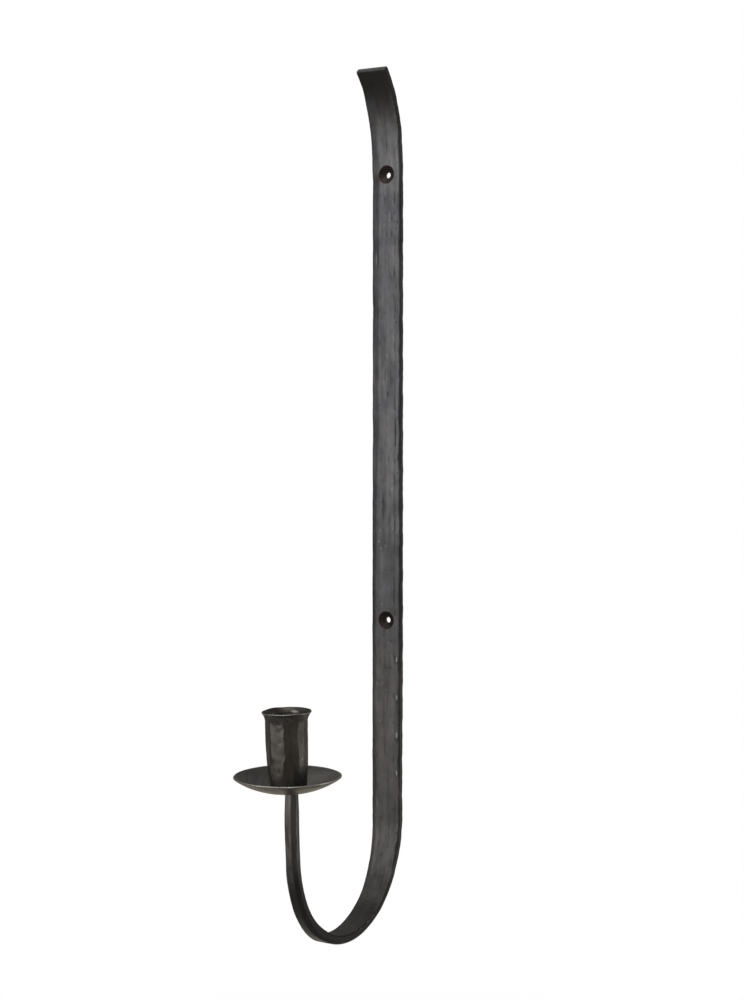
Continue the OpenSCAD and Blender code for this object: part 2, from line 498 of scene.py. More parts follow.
@dataclass(frozen=True)
class ForgeScaleAndShade:
    """The dark forge scale left along the bar, and painted shade over its top curl, hook bend and
    arm side.

    Attributes:
        arm: the reach from the wall at which the bend gives way to the arm.
        drift: how far the heights of the parts wander up and down.
        curl: the heights of the top curl's painted shade, with curl_share.
        bend: the heights of the painted shade in the bend below the strap, with bend_share.
        rise: the heights of the painted shade in the bend below the arm, with rise_share.
        polished: the heights of the arm that hands have rubbed, with polished_share.
        side: how squarely a side faces left or right, with side_share.
        arm_side: the heights of the painted shade on the arm's right side.
        low_side: the heights of the strap's sides beside the socket, with low_side_share.
        seam_x: the place across the bar of the dark seam down the strap's face.
        seam_wander: how far the seam strays.
        seam_half: the distance from the middle of the seam.
        seam_breaks: the noise that breaks the seam up.
        seam_foot: the heights of the seam's lower end.
        seam_head: the heights of the seam's upper end, with seam_share for the seam.
    """

    arm: Span = (-50.0, -64.0)
    drift: float = 36.0
    curl: Span = (148.0, 186.0)
    curl_share: float = 0.5
    bend: Span = (-278.0, -308.0)
    bend_share: float = 0.5
    rise: Span = (-256.0, -298.0)
    rise_share: float = 0.72
    polished: Span = (-282.0, -246.0)
    polished_share: float = 0.3
    side: Span = (0.5, 0.85)
    side_share: float = 0.42
    arm_side: Span = (-240.0, -272.0)
    low_side: Span = (-150.0, -185.0)
    low_side_share: float = 0.22
    seam_x: float = 6.0
    seam_wander: float = 3.0
    seam_half: Span = (0.75, 0.2)
    seam_breaks: Span = (0.44, 0.6)
    seam_foot: Span = (-152.0, -132.0)
    seam_head: Span = (150.0, 120.0)
    seam_share: float = 0.34

    def __call__(self, graph: Graph) -> Signal:
        """Adds the mask.

        Args:
            graph: the graph that it is added to.

        Returns:
            0 on the strap's face and the upper arm, and up to 1 over the bar's sides and over the
            top curl, the hook bend and the arm's right side, where it is painted shade.
        """
        place = graph.object_mm()
        x, y, z = graph.parts(place)
        sideways = graph.parts(graph.normal())[0]
        drift = graph.noise(graph.stretch(place, 0.10, 0.10, 0.07), 3.0) - 0.5
        uneven = z + drift * self.drift
        arm = y.smooth(*self.arm)
        # Painted shade: the top curl and the hook bend take the dark skin's colour.
        curl = uneven.smooth(*self.curl) * self.curl_share
        bend = uneven.smooth(*self.bend) * (1.0 - arm) * self.bend_share
        bend = bend + uneven.smooth(*self.rise) * arm * self.rise_share
        bend = bend - z.smooth(*self.polished) * arm * self.polished_share
        sides = abs(sideways).smooth(*self.side) * (1.0 - arm)
        # Painted shade: the lower arm's side that faces right is darkened.
        sides = sides + sideways.smooth(*self.side) * z.smooth(*self.arm_side) * arm
        sides = sides * (self.side_share - z.smooth(*self.low_side) * self.low_side_share)
        wander = graph.noise(graph.stretch(place, 0.0, 0.0, 0.022), 2.0) - 0.5
        seam = abs(x - self.seam_x - wander * self.seam_wander).smooth(*self.seam_half)
        broken = graph.noise(graph.stretch(place, 0.0, 0.0, 0.11), 3.0)
        seam = seam * broken.smooth(*self.seam_breaks) * y.smooth(*FACE)
        seam = seam * z.smooth(*self.seam_foot) * z.smooth(*self.seam_head)
        return curl + bend + sides + seam * self.seam_share


@dataclass(frozen=True)
class HoleGrime:
    """Old wax and rust in the two countersinks.

    Attributes:
        hole_z: the height of the upper hole above the origin, and the lower one below it.
        around: the square of the distance from a hole's axis.
    """

    hole_z: float = 137.0
    around: Span = (31.0, 29.0)

    def __call__(self, graph: Graph) -> Signal:
        """Adds the mask.

        Args:
            graph: the graph that it is added to.

        Returns:
            1 inside the cones and 0 elsewhere.
        """
        x, y, z = graph.parts(graph.object_mm())
        above = abs(z) - self.hole_z
        return (x * x + above * above).smooth(*self.around) * y.smooth(*FACE)


@dataclass(frozen=True)
class ViceMarkHighlights:
    """Small bright lumps in a row by the strap's right arris, where a vice held it, painted as
    bright as the highlights that they catch.

    Attributes:
        column: the place of the row across the strap.
        first_z: the height of one of the lumps.
        half_step: half the distance between two lumps.
        aside: the distance from a lump's middle across the strap.
        beyond: the distance from a lump's middle along the strap.
        foot: the heights of the row's lower end.
        head: the heights of the row's upper end.
        share: how bright the lumps get.
    """

    column: float = 7.7
    first_z: float = -161.1
    half_step: float = 11.7
    aside: Span = (0.9, 0.3)
    beyond: Span = (2.1, 0.8)
    foot: Span = (-245.0, -238.0)
    head: Span = (-148.0, -156.0)
    share: float = 0.8

    def __call__(self, graph: Graph) -> Signal:
        """Adds the mask.

        Args:
            graph: the graph that it is added to.

        Returns:
            Up to the share on each lump and 0 elsewhere.
        """
        x, _, z = graph.parts(graph.object_mm())
        aside = abs(x - self.column).smooth(*self.aside)
        beyond = graph.math("PINGPONG", z - self.first_z, self.half_step).smooth(*self.beyond)
        row = z.smooth(*self.foot) * z.smooth(*self.head)
        # Painted highlights on the raised lumps, over metal rubbed bare there.
        return aside * beyond * row * self.share


@dataclass(frozen=True)
class SocketMouthShade:
    """Painted shade, as a darker skin, on the inner face of the socket's mouth.

    Attributes:
        axis_y: where the socket's axis stands in front of the wall.
        inwards: how squarely the surface faces away from the axis, times its distance.
        heights: of the painted shade's lower end.
        share: how dark the painted shade gets.
    """

    axis_y: float = -110.5
    inwards: Span = (1.0, -3.0)
    heights: Span = (-206.0, -196.0)
    share: float = 0.55

    def __call__(self, graph: Graph) -> Signal:
        """Adds the mask.

        Args:
            graph: the graph that it is added to.

        Returns:
            Up to the share on the inner face and 0 elsewhere.
        """
        x, y, z = graph.parts(graph.object_mm())
        facing_x, facing_y, _ = graph.parts(graph.normal())
        outwards = x * facing_x + (y - self.axis_y) * facing_y
        # Painted shade: the inner face of the mouth is darkened.
        return outwards.smooth(*self.inwards) * z.smooth(*self.heights) * self.share


@dataclass(frozen=True)
class LipRubHighlight:
    """A painted highlight inside the socket's lip: a bright spot, stretched sideways like a
    reflection, where candles have rubbed the sheet.

    Attributes:
        middle: of the spot.
        stretch: how much less the spot fades sideways than up and down.
        fade: the square of the distance from its middle.
        sheet: the distance behind its middle, so that the outer face stays clear.
        share: how bright the spot gets.
    """

    middle: tuple[float, float, float] = (-2.3, -99.3, -180.4)
    stretch: float = 0.085
    fade: Span = (0.8, 0.0)
    sheet: Span = (0.8, 0.3)
    share: float = 0.9

    def __call__(self, graph: Graph) -> Signal:
        """Adds the mask.

        Args:
            graph: the graph that it is added to.

        Returns:
            Up to the share on the spot and 0 elsewhere.
        """
        x, y, z = (
            part - middle for part, middle in zip(graph.parts(graph.object_mm()), self.middle)
        )
        spot = ((x * x + y * y) * self.stretch + z * z).smooth(*self.fade)
        # Painted highlight: a bright, smooth spot of bare sheet inside the lip.
        return spot * y.smooth(*self.sheet) * self.share


# Mesh building


def wobble(slow: np.ndarray, middle: np.ndarray, quick: np.ndarray, phase: float) -> np.ndarray:
    """Adds up three sines that never line up.

    Args:
        slow: the angle of the largest sine at each place, in radians.
        middle: that of the second sine.
        quick: that of the smallest sine.
        phase: shifts each of them by its own amount.

    Returns:
        Values between -1 and 1.
    """
    total = 0.5 * np.sin(slow + phase)
    total = total + 0.32 * np.sin(middle + 2.1 * phase + 1.0)
    return total + 0.18 * np.sin(quick + 0.7 * phase + 2.3)


@dataclass(frozen=True)
class Wave:
    """A smooth irregular wobble along a length.

    Attributes:
        size: how far it goes to either side.
        length: of its slowest part, in millimetres.
        phase: where the wobble starts.
    """

    size: float
    length: float
    phase: float = 0.0

    def at(self, run: np.ndarray) -> np.ndarray:
        """The wobble at each place along the length."""
        turns = TURN * run / self.length
        return self.size * wobble(turns, 1.93 * turns, 3.71 * turns, self.phase)


@dataclass(frozen=True)
class RimWave:
    """A smooth irregular wobble round a rim, which meets itself after one turn.

    Attributes:
        size: how far it goes to either side.
        waves: the number of its slowest waves in one turn.
        phase: where the wobble starts.
    """

    size: float
    waves: int
    phase: float = 0.0

    def at(self, azimuth: np.ndarray) -> np.ndarray:
        """The wobble at each azimuth in radians."""
        middle, quick = 2 * self.waves + 1, 3 * self.waves + 1
        return self.size * wobble(
            self.waves * azimuth, middle * azimuth, quick * azimuth, self.phase
        )


@dataclass(frozen=True)
class Swell:
    """One smooth swelling along a height.

    Attributes:
        size: its height above what lies round it.
        centre: its middle.
        spread: the distance over which it falls away.
    """

    size: float
    centre: float
    spread: float

    def at(self, height: np.ndarray) -> np.ndarray:
        """The swelling at each height."""
        return self.size * np.exp(-(((height - self.centre) / self.spread) ** 2))


@dataclass(frozen=True)
class Flat:
    """One long hammered flat on a round bar or tube.

    Attributes:
        azimuth: the direction that it faces, in degrees.
        depth: how far it is cut in, as a share of the radius.
        sway: how far the direction strays, in degrees.
        sway_length: the length of one stray.
        phase: where its wobbles start.
        unevenness: how far the depth varies, as a share.
    """

    azimuth: float
    depth: float
    sway: float
    sway_length: float
    phase: float = 0.0
    unevenness: float = 0.35

    def direction(self, run: np.ndarray) -> np.ndarray:
        """Where the flat faces at each place along the bar, in radians."""
        return np.radians(self.azimuth + Wave(self.sway, self.sway_length, self.phase).at(run))

    def dip(self, run: np.ndarray) -> np.ndarray:
        """The flat's depth at each place along the bar."""
        uneven = Wave(self.unevenness, 0.8 * self.sway_length, self.phase + 1.0)
        return self.depth * (1.0 + uneven.at(run))


@dataclass(frozen=True)
class Bevel:
    """One bevelled edge of a flat bar.

    Attributes:
        width: across the bevel.
        widths: how the width varies along the bar.
        slope: the drop for each millimetre towards the edge.
        blend: the size of the rounded corner where the bevel starts.
        slopes: how the slope varies along the bar.
    """

    width: float
    widths: tuple[Wave, ...]
    slope: float
    blend: float
    slopes: Wave = Wave(0.0, 1.0)

    def drop(
        self, along: np.ndarray, from_edge: np.ndarray, wider: np.ndarray | float = 0.0
    ) -> np.ndarray:
        """How far the bevel lowers the face.

        Args:
            along: the place along the bar of each ring.
            from_edge: the distance of each point from the edge.
            wider: what is added to the width.

        Returns:
            The drop at each point.
        """
        width = self.width + wider + sum(wave.at(along) for wave in self.widths)
        return soft_ramp(width - from_edge, self.blend) * (self.slope + self.slopes.at(along))


@dataclass(frozen=True)
class Hammering:
    """Overlapping hammer marks: shallow hollows with ridges between them.

    Attributes:
        seed: of the marks' random places and strengths.
        along: the distance between two marks along the metal.
        across: the distance between two marks across it.
        depth: of the deepest mark.
        longer: the half length of a mark, as a share of along.
        wider: the half width of a mark, as a share of across.
        scatter: how far a mark strays, as a share of both.
        weakest: the strength of the shallowest mark.
    """

    seed: int
    along: float
    across: float
    depth: float
    longer: float = 1.35
    wider: float = 1.2
    scatter: float = 0.45
    weakest: float = 0.5

    def relief(self, across: np.ndarray, along: np.ndarray) -> np.ndarray:
        """How deep the marks lie at each place.

        Args:
            across: places across the metal, as rings by points.
            along: the place along the metal of each ring, in rising order.

        Returns:
            Depths from 0 to depth, as rings by points.
        """
        rng = np.random.default_rng(self.seed)
        hollows = np.zeros(across.shape)
        long, wide = self.longer * self.along, self.wider * self.across
        for row in np.arange(along[0], along[-1] + self.along, self.along):
            for column in np.arange(across.min(), across.max() + self.across, self.across):
                middle = row + rng.uniform(-self.scatter, self.scatter) * self.along
                side = column + rng.uniform(-self.scatter, self.scatter) * self.across
                blow = rng.uniform(self.weakest, 1.0)
                first, last = np.searchsorted(along, [middle - long, middle + long])
                aside = (across[first:last] - side) / wide
                beyond = (along[first:last, None] - middle) / long
                hollow = blow * (1.0 - aside**2 - beyond**2)
                np.maximum(hollows[first:last], hollow, out=hollows[first:last])
        return self.depth * hollows


@dataclass(frozen=True)
class Mark:
    """One dent or groove, or with a negative depth one small lump.

    Attributes:
        height: of its middle.
        across: the place of its middle across the metal.
        length: along the metal.
        width: across the metal.
        depth: at its middle.
    """

    height: float
    across: float
    length: float
    width: float
    depth: float

    def relief(self, across: np.ndarray, height: np.ndarray) -> np.ndarray:
        """How deep the mark is.

        Args:
            across: the place of each point across the metal.
            height: the height of each point.

        Returns:
            The depth at each point.
        """
        aside = (across - self.across) / (0.5 * self.width)
        beyond = (height - self.height) / (0.5 * self.length)
        return self.depth * np.exp(-(aside**2) - beyond**4)


def soft_ramp(distance: np.ndarray, blend: float) -> np.ndarray:
    """0 below zero and the distance itself above it, with a rounded corner between.

    Args:
        distance: the values.
        blend: the size of the rounded corner.

    Returns:
        The ramp at each value.
    """
    return blend * np.logaddexp(0.0, distance / blend)


def ramp(value: np.ndarray, start: float, end: float) -> np.ndarray:
    """A straight ramp, level beyond its ends.

    Args:
        value: the values.
        start: the value that gives 0.
        end: the value that gives 1. It may be less than start.

    Returns:
        The ramp at each value.
    """
    return np.clip((value - start) / (end - start), 0.0, 1.0)


def facing(azimuth: np.ndarray, towards: float, power: int = 1) -> np.ndarray:
    """How squarely a round form faces a direction.

    Args:
        azimuth: the places round the form, in radians.
        towards: the direction, in degrees.
        power: how quickly the share falls away from it.

    Returns:
        1 in the direction, falling to 0 a quarter turn away and beyond.
    """
    return np.clip(np.cos(azimuth - math.radians(towards)), 0.0, 1.0) ** power


class NodeBox:
    """Where a node's solid lies in the frame, in millimetres."""

    def __init__(self, corners: tuple[Vector, Vector]) -> None:
        """Takes the box from the frame.

        Args:
            corners: its low and high corner, in metres.
        """
        low, high = corners
        self.bottom = low.z / MM
        self.top = high.z / MM
        self.radius = (high.x - low.x) / 2 / MM
        self.middle_y = (low.y + high.y) / 2 / MM


def make_piece(
    name: str,
    points: np.ndarray,
    grain: np.ndarray | None = None,
    closed_profile: bool = False,
) -> bpy.types.Object:
    """Builds one skin through a stack of closed rings.

    Args:
        name: the piece's name.
        points: places in millimetres, as rings by points round a ring by 3.
        grain: across-grain and along-grain places in millimetres, as rings by points
            plus one by 2. Without it they come from the ring and point distances.
        closed_profile: True where the last ring joins the first, and False where each
            end is capped.

    Returns:
        The new object, at the origin and linked to the scene.
    """
    rings, around = points.shape[:2]
    if grain is None:
        grain = wrapped_grain(points)
    steps = rings if closed_profile else rings - 1
    near, side = np.meshgrid(np.arange(steps), np.arange(around), indexing="ij")
    far, next_side = (near + 1) % rings, (side + 1) % around
    quads = np.stack(
        [near * around + side, near * around + next_side,
         far * around + next_side, far * around + side], -1
    ).reshape(-1, 4)
    corners = np.stack(
        [grain[near, side], grain[near, side + 1], grain[far, side + 1], grain[far, side]], 2
    ).reshape(-1, 2)
    faces = quads.tolist()
    if not closed_profile:
        faces.append(list(range(around))[::-1])
        faces.append([(rings - 1) * around + i for i in range(around)])
        ends = [grain[0, :around][::-1], grain[-1, :around]]
        corners = np.concatenate([corners, *ends])
    mesh = bpy.data.meshes.new(name)
    mesh.from_pydata((points.reshape(-1, 3) * MM).tolist(), [], faces)
    layer = mesh.uv_layers.new(name="grain")
    layer.data.foreach_set("uv", (corners * MM).astype(np.float32).ravel())
    face_outwards(mesh)
    piece = bpy.data.objects.new(name, mesh)
    bpy.context.scene.collection.objects.link(piece)
    return piece


def face_outwards(mesh: bpy.types.Mesh) -> None:
    """Turns a closed mesh right side out.

    Args:
        mesh: the mesh.
    """
    solid = bmesh.new()
    solid.from_mesh(mesh)
    volume = solid.calc_volume(signed=True)
    solid.free()
    if volume < 0.0:
        mesh.flip_normals()


def lengths_round(rings: np.ndarray) -> np.ndarray:
    """The lengths travelled round a stack of rings.

    Args:
        rings: places, as rings by points by 2 or 3.

    Returns:
        The length at each point, and at last that of the whole ring, as rings by points
        plus one.
    """
    closed = np.concatenate([rings, rings[:, :1]], 1)
    steps = np.linalg.norm(np.diff(closed, axis=1), axis=2)
    return np.concatenate([np.zeros((len(rings), 1)), np.cumsum(steps, 1)], 1)


def wrapped_grain(points: np.ndarray) -> np.ndarray:
    """Lengths along and round a stack of rings, for the metal's grain.

    Args:
        points: places in millimetres, as rings by points by 3.

    Returns:
        Across-grain and along-grain places, as rings by points plus one by 2.
    """
    across = lengths_round(points)
    ring_steps = np.linalg.norm(np.diff(points, axis=0), axis=2).mean(1)
    along = np.concatenate([[0.0], np.cumsum(ring_steps)])
    return np.stack([across, np.broadcast_to(along[:, None], across.shape)], -1)


def carve(piece: bpy.types.Object, cutters: Sequence[bpy.types.Object]) -> None:
    """Cuts the cutters' shapes out of a piece and removes the cutters.

    Args:
        piece: the piece.
        cutters: closed shapes that overlap it.
    """
    for cutter in cutters:
        cut = piece.modifiers.new("bore", "BOOLEAN")
        cut.operation = "DIFFERENCE"
        cut.solver = "EXACT"
        cut.object = cutter
    depsgraph = bpy.context.evaluated_depsgraph_get()
    carved = bpy.data.meshes.new_from_object(piece.evaluated_get(depsgraph))
    tidy = bmesh.new()
    tidy.from_mesh(carved)
    bmesh.ops.remove_doubles(tidy, verts=tidy.verts, dist=0.02 * MM)
    bmesh.ops.dissolve_degenerate(tidy, edges=tidy.edges, dist=0.01 * MM)
    tidy.to_mesh(carved)
    tidy.free()
    piece.modifiers.clear()
    old = piece.data
    piece.data = carved
    carved.name = old.name
    bpy.data.meshes.remove(old)
    for cutter in cutters:
        bpy.data.objects.remove(cutter)


def dress(
    piece: bpy.types.Object, node: str, finish: bpy.types.Material, crease: float = 24.0
) -> None:
    """Shades a piece, gives it its finish and puts it in a node's place.

    Args:
        piece: the piece.
        node: the node that it stands for.
        finish: its material.
        crease: the angle in degrees above which an edge stays sharp.
    """
    piece.data.shade_smooth()
    piece.data.set_sharp_from_angle(angle=math.radians(crease))
    piece.data.materials.clear()
    piece.data.materials.append(finish)
    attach(piece, BODY)
    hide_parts(node)
    log.info("%s: %d faces, stands for %s", piece.name, len(piece.data.polygons), node)


def revolved(profile: np.ndarray, sides: int) -> np.ndarray:
    """Turns a profile about the Z axis.

    Args:
        profile: radius and height pairs in millimetres.
        sides: the number of points round each ring.

    Returns:
        Rings of points, as rings by sides by 3.
    """
    azimuth = np.linspace(-math.pi, math.pi, sides, endpoint=False)
    radius = profile[:, :1]
    x = radius * np.sin(azimuth)
    y = -radius * np.cos(azimuth)
    z = np.broadcast_to(profile[:, 1:], x.shape)
    return np.stack([x, y, z], -1)


def arc(degrees: np.ndarray) -> np.ndarray:
    """The sine and cosine of each angle in degrees, as rows."""
    angle = np.radians(degrees)
    return np.stack([np.sin(angle), np.cos(angle)], -1)


def drill(radius: float, bottom: float, top: float, y: float, name: str) -> bpy.types.Object:
    """A cutter for a plain upright hole.

    Args:
        radius: of the hole.
        bottom: the height of its lower end.
        top: the height of its upper end.
        y: the place of its axis, which stands at x = 0.
        name: the cutter's name.

    Returns:
        The cutter.
    """
    profile = np.array([[radius, bottom], [radius, top]])
    return make_piece(name, revolved(profile, 48) + [0.0, y, 0.0])


def mount(record: dict[str, Any], name: str) -> dict[str, Any]:
    """The record's mount of that name."""
    return next(entry for entry in record["mounts"] if entry["name"] == name)


# The forged hook


@dataclass
class ForgedHook:
    """The strap, its top curl, the hook bend and the arm: one hammered forging.

    The bar is a row of rings from the tip of the curl to the top of the arm. Along it,
    taper is 0 on the strap, 1 at the lowest point and 2 on the arm.

    Attributes:
        record: the frame's record, which gives the screw holes.
        strap_t: the strap's thickness.
        foot_flat: the flat length below the lower screw hole.
        ease_below: how far below the upper screw hole the curl starts.
        ease_r: the radius of the curl's easy start, which turns by ease_angle degrees.
        curl_r: the radius of the curl itself, which turns by curl_angle degrees.
        wall_reach: how far the bend's wall side reaches out, over wall_drop down.
        arm_reach: how far its arm side reaches out, over arm_rise up.
        widths: of the bar, at even steps of the taper.
        thicknesses: of the bar, at the same steps.
        roundings: the corner radii, at the same steps.
        neck_d: the diameter of the arm's end, over its last neck_h.
        tap_spare: how far the tapped hole goes on below the screw.
        sink_d: the diameter of the countersinks, with cones of sink_angle degrees.
        sink_lip: how their edges open, each point outwards and forwards.
        chatter: the depth of the drill's chatter_rings rings in a cone.
        ring_step: the distance between two rings.
        around: the number of points round a ring.
        corner_share: the share of those points that follow the corners' bend.
        tip_soft: the radius of the curl's tip.
        tip_draw: how far the tip is drawn out, over tip_length.
        tip_skew: how much more it is drawn out on its left, for each millimetre across.
        planishing: the hammer marks on the strap's face.
        edge_blows: those along its right edge.
        arm_blows: those round the arm.
        left_bevel: the wide bevel down the strap's left edge.
        left_widening: how much wider it is on the upper strap.
        upper_strap: the heights over which it widens.
        left_corner: the rounded corner outside it.
        right_bevel: the shallow bevel down the right edge.
        right_corner: the rounded corner outside it.
        edge_growth: how much the blows widen that corner.
        corner_ends: the shares of strap at which that corner starts and is whole.
        bevel_ends: the heights at which all these start below the tip and are whole.
        bevel_least: how much of them is left at the tip.
        strap_ends: the tapers at which the strap's hammering is gone and is whole.
        arm_starts: the tapers at which the arm's hammering starts and is whole.
        left_dents: how the left side wanders, and right_dents how the right one does.
        left_swell: how far the left side stands out, but for the shoulder.
        right_inset: how far the right side stands in, and more at the waist.
        fuller: how far the round arm is fuller than its sizes, and bend_fuller the bend.
        arm_sway: where the arm leans right, and bend_sway where the bend does.
        belly: where the arm side of the bend bulges outwards.
        grain_start: the grain's place down the middle of the strap's face.
        marks: the single dents and lumps on the strap.
        flats: the long hammered flats round the arm.
        flat_blend: the size of the rounded corner between two flats, as a share.
        blow_share: how much of the arm's blows shows between them.
    """

    record: dict[str, Any]
    strap_t: float = 4.0
    foot_flat: float = 123.5
    ease_below: float = 6.5
    ease_r: float = 283.0
    ease_angle: float = 5.5
    curl_r: float = 71.0
    curl_angle: float = 35.0
    wall_reach: float = 53.5
    wall_drop: float = 59.5
    arm_reach: float = 50.3
    arm_rise: float = 63.5
    widths: tuple[float, ...] = (20.0, 16.5, 14.5, 8.5, 7.7)
    thicknesses: tuple[float, ...] = (4.0, 4.25, 4.5, 7.0, 7.7)
    roundings: tuple[float, ...] = (0.45, 0.8, 1.2, 2.5, 3.1)
    neck_d: float = 7.0
    neck_h: float = 13.0
    tap_spare: float = 1.5
    sink_d: float = 11.0
    sink_angle: float = 118.0
    sink_lip: tuple[Span, ...] = ((0.22, 0.04), (0.9, 0.9))
    chatter: float = 0.035
    chatter_rings: float = 7.0
    ring_step: float = 0.88
    around: int = 124
    corner_share: float = 0.28
    tip_soft: float = 0.22
    tip_draw: float = 1.0
    tip_skew: float = 0.045
    tip_length: float = 9.0
    planishing: Hammering = Hammering(7, 21.0, 5.5, 0.11)
    edge_blows: Hammering = Hammering(11, 17.0, 40.0, 0.32)
    arm_blows: Hammering = Hammering(5, 15.0, 60.0, 0.16)
    left_bevel: Bevel = Bevel(
        2.5, (Wave(0.45, 71.0, 0.6), Wave(0.15, 17.0, 1.0)), 0.175, 0.14, Wave(0.05, 37.0, 1.4)
    )
    left_widening: float = 2.1
    upper_strap: Span = (-95.0, -15.0)
    left_corner: Bevel = Bevel(0.5, (Wave(0.3, 19.0, 5.0),), 0.4, 0.07)
    right_bevel: Bevel = Bevel(
        3.0, (Wave(1.3, 49.0, 2.2), Wave(0.5, 14.0, 0.3)), 0.10, 0.14, Wave(0.08, 31.0, 4.0)
    )
    right_corner: Bevel = Bevel(0.45, (Wave(0.35, 27.0, 2.6),), 0.62, 0.07)
    edge_growth: float = 2.6
    corner_ends: Span = (0.6875, 1.0)
    bevel_ends: Span = (180.0, 148.0)
    bevel_least: float = 0.15
    strap_ends: Span = (1.15, 0.15)
    arm_starts: Span = (0.9, 1.5)
    left_dents: Wave = Wave(0.07, 26.0, 3.3)
    left_swell: float = 0.55
    shoulder: Swell = Swell(0.55, 189.0, 6.0)
    right_dents: Wave = Wave(0.2, 21.0, 0.2)
    right_inset: float = 0.1
    waist: Swell = Swell(0.45, -235.0, 42.0)
    fuller: float = 0.03
    bend_fuller: float = 0.05
    arm_sway: Swell = Swell(0.6, -262.0, 13.0)
    bend_sway: Swell = Swell(0.45, -305.0, 12.0)
    belly: Swell = Swell(0.45, -298.0, 12.0)
    grain_start: float = 100.0
    marks: tuple[Mark, ...] = (
        Mark(121.0, -1.8, 6.0, 1.8, 0.16),
        Mark(110.5, 3.3, 5.0, 1.3, 0.30),
        Mark(100.5, 2.9, 4.0, 2.0, 0.30),
        Mark(86.0, -6.6, 7.0, 1.4, 0.20),
        Mark(75.0, 4.6, 12.0, 1.2, 0.16),
        Mark(57.0, 6.1, 11.0, 0.9, 0.26),
        Mark(32.0, 6.0, 17.0, 0.9, 0.18),
        Mark(13.0, -1.5, 6.0, 1.1, 0.20),
        Mark(2.4, 0.1, 2.0, 1.5, 0.30),
        Mark(-6.2, 5.8, 3.0, 1.2, 0.30),
        Mark(-22.0, 6.1, 21.0, 0.9, 0.26),
        Mark(-38.0, 1.0, 4.0, 1.3, 0.18),
        Mark(-66.0, -3.0, 17.0, 1.2, 0.18),
        Mark(-84.0, 5.6, 24.0, 1.0, 0.20),
        Mark(-121.0, 5.2, 13.0, 1.0, 0.20),
        Mark(-150.4, 2.5, 1.6, 2.2, 0.30),
        Mark(-152.0, 2.5, 1.6, 1.8, -0.14),
        Mark(-161.0, 7.6, 4.5, 2.0, -0.24),
        Mark(-160.0, 5.2, 4.0, 1.6, 0.18),
        Mark(-165.4, 4.0, 1.9, 1.4, -0.20),
        Mark(-175.8, -5.8, 2.2, 1.8, 0.28),
        Mark(-184.4, 7.6, 5.0, 2.0, -0.24),
        Mark(-184.0, 5.0, 4.0, 1.6, 0.18),
        Mark(-208.6, 7.6, 4.5, 2.0, -0.24),
        Mark(-214.0, -2.0, 15.0, 1.2, 0.16),
        Mark(-231.2, 7.6, 4.0, 2.0, -0.24),
        Mark(-249.0, -5.8, 5.0, 1.5, 0.20),
        Mark(-270.0, 1.5, 22.0, 1.2, 0.16),
        Mark(-282.5, -2.3, 3.0, 2.2, 0.26),
        Mark(-287.0, 6.2, 5.0, 1.5, -0.16),
        Mark(-295.0, -3.3, 4.0, 2.4, 0.24),
    )
    flats: tuple[Flat, ...] = (
        Flat(-92.0, 0.065, 9.0, 61.0, 0.4),
        Flat(-38.0, 0.085, 12.0, 47.0, 1.9),
        Flat(14.0, 0.06, 9.0, 73.0, 3.1),
        Flat(66.0, 0.075, 11.0, 52.0, 4.4),
        Flat(118.0, 0.07, 8.0, 66.0, 5.2),
        Flat(171.0, 0.085, 12.0, 43.0, 0.9),
        Flat(222.0, 0.07, 10.0, 57.0, 2.7),
    )
    flat_blend: float = 0.005
    blow_share: float = 0.1

    def __post_init__(self) -> None:
        """Takes the sizes that the frame knows, and places the bends."""
        screws = mount(self.record, "wall_screws")["dims"]
        self.hole_z = screws["spacing_y_mm"] / 2
        self.hole_r = screws["hole_r_mm"]
        self.arm_top = NodeBox(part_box("drip_pan")).bottom
        self.mid_t = self.strap_t / 2
        self.curl_z = self.hole_z - self.ease_below
        self.bend_z = -self.hole_z - self.foot_flat
        self.low_z = self.bend_z - self.wall_drop
        self.low_reach = self.mid_t + self.wall_reach
        self.arm_z = self.low_z + self.arm_rise
        self.arm_axis = self.low_reach + self.arm_reach

    def centreline(self) -> np.ndarray:
        """The bar's mid-line.

        Returns:
            Rows of reach from the wall, height, angle of the inner face's normal in
            radians, and taper, from the tip of the curl to the top of the arm.
        """
        ease = math.radians(self.ease_angle)
        curl = math.radians(self.curl_angle)
        ease_end = self.mid_t + self.ease_r * (1 - math.cos(ease))
        ease_top = self.curl_z + self.ease_r * math.sin(ease)

        turn = self._steps(curl * self.curl_r)[::-1] * curl + ease
        reach = ease_end + self.curl_r * (math.cos(ease) - np.cos(turn))
        height = ease_top + self.curl_r * (np.sin(turn) - math.sin(ease))
        rows = [np.stack([reach, height, -turn, 0 * turn], -1)]

        turn = self._steps(ease * self.ease_r)[::-1] * ease
        reach = self.mid_t + self.ease_r * (1 - np.cos(turn))
        height = self.curl_z + self.ease_r * np.sin(turn)
        rows.append(np.stack([reach, height, -turn, 0 * turn], -1)[1:])

        fall = self.curl_z - self._steps(self.curl_z - self.bend_z) * (self.curl_z - self.bend_z)
        rows.append(np.stack([0 * fall + self.mid_t, fall, 0 * fall, 0 * fall], -1)[1:])

        quarter = math.pi / 2
        part = self._steps(quarter * (self.wall_reach + self.wall_drop) / 2)
        sine, cosine = np.sin(part * quarter), np.cos(part * quarter)
        reach = self.mid_t + self.wall_reach * (1 - cosine)
        height = self.bend_z - self.wall_drop * sine
        angle = np.arctan2(self.wall_reach * sine, self.wall_drop * cosine)
        rows.append(np.stack([reach, height, angle, part], -1)[1:])

        part = self._steps(quarter * (self.arm_reach + self.arm_rise) / 2)
        sine, cosine = np.sin(part * quarter), np.cos(part * quarter)
        reach = self.low_reach + self.arm_reach * sine
        height = self.low_z + self.arm_rise * (1 - cosine)
        angle = np.arctan2(self.arm_reach * cosine, -self.arm_rise * sine)
        rows.append(np.stack([reach, height, angle, 1 + part], -1)[1:])

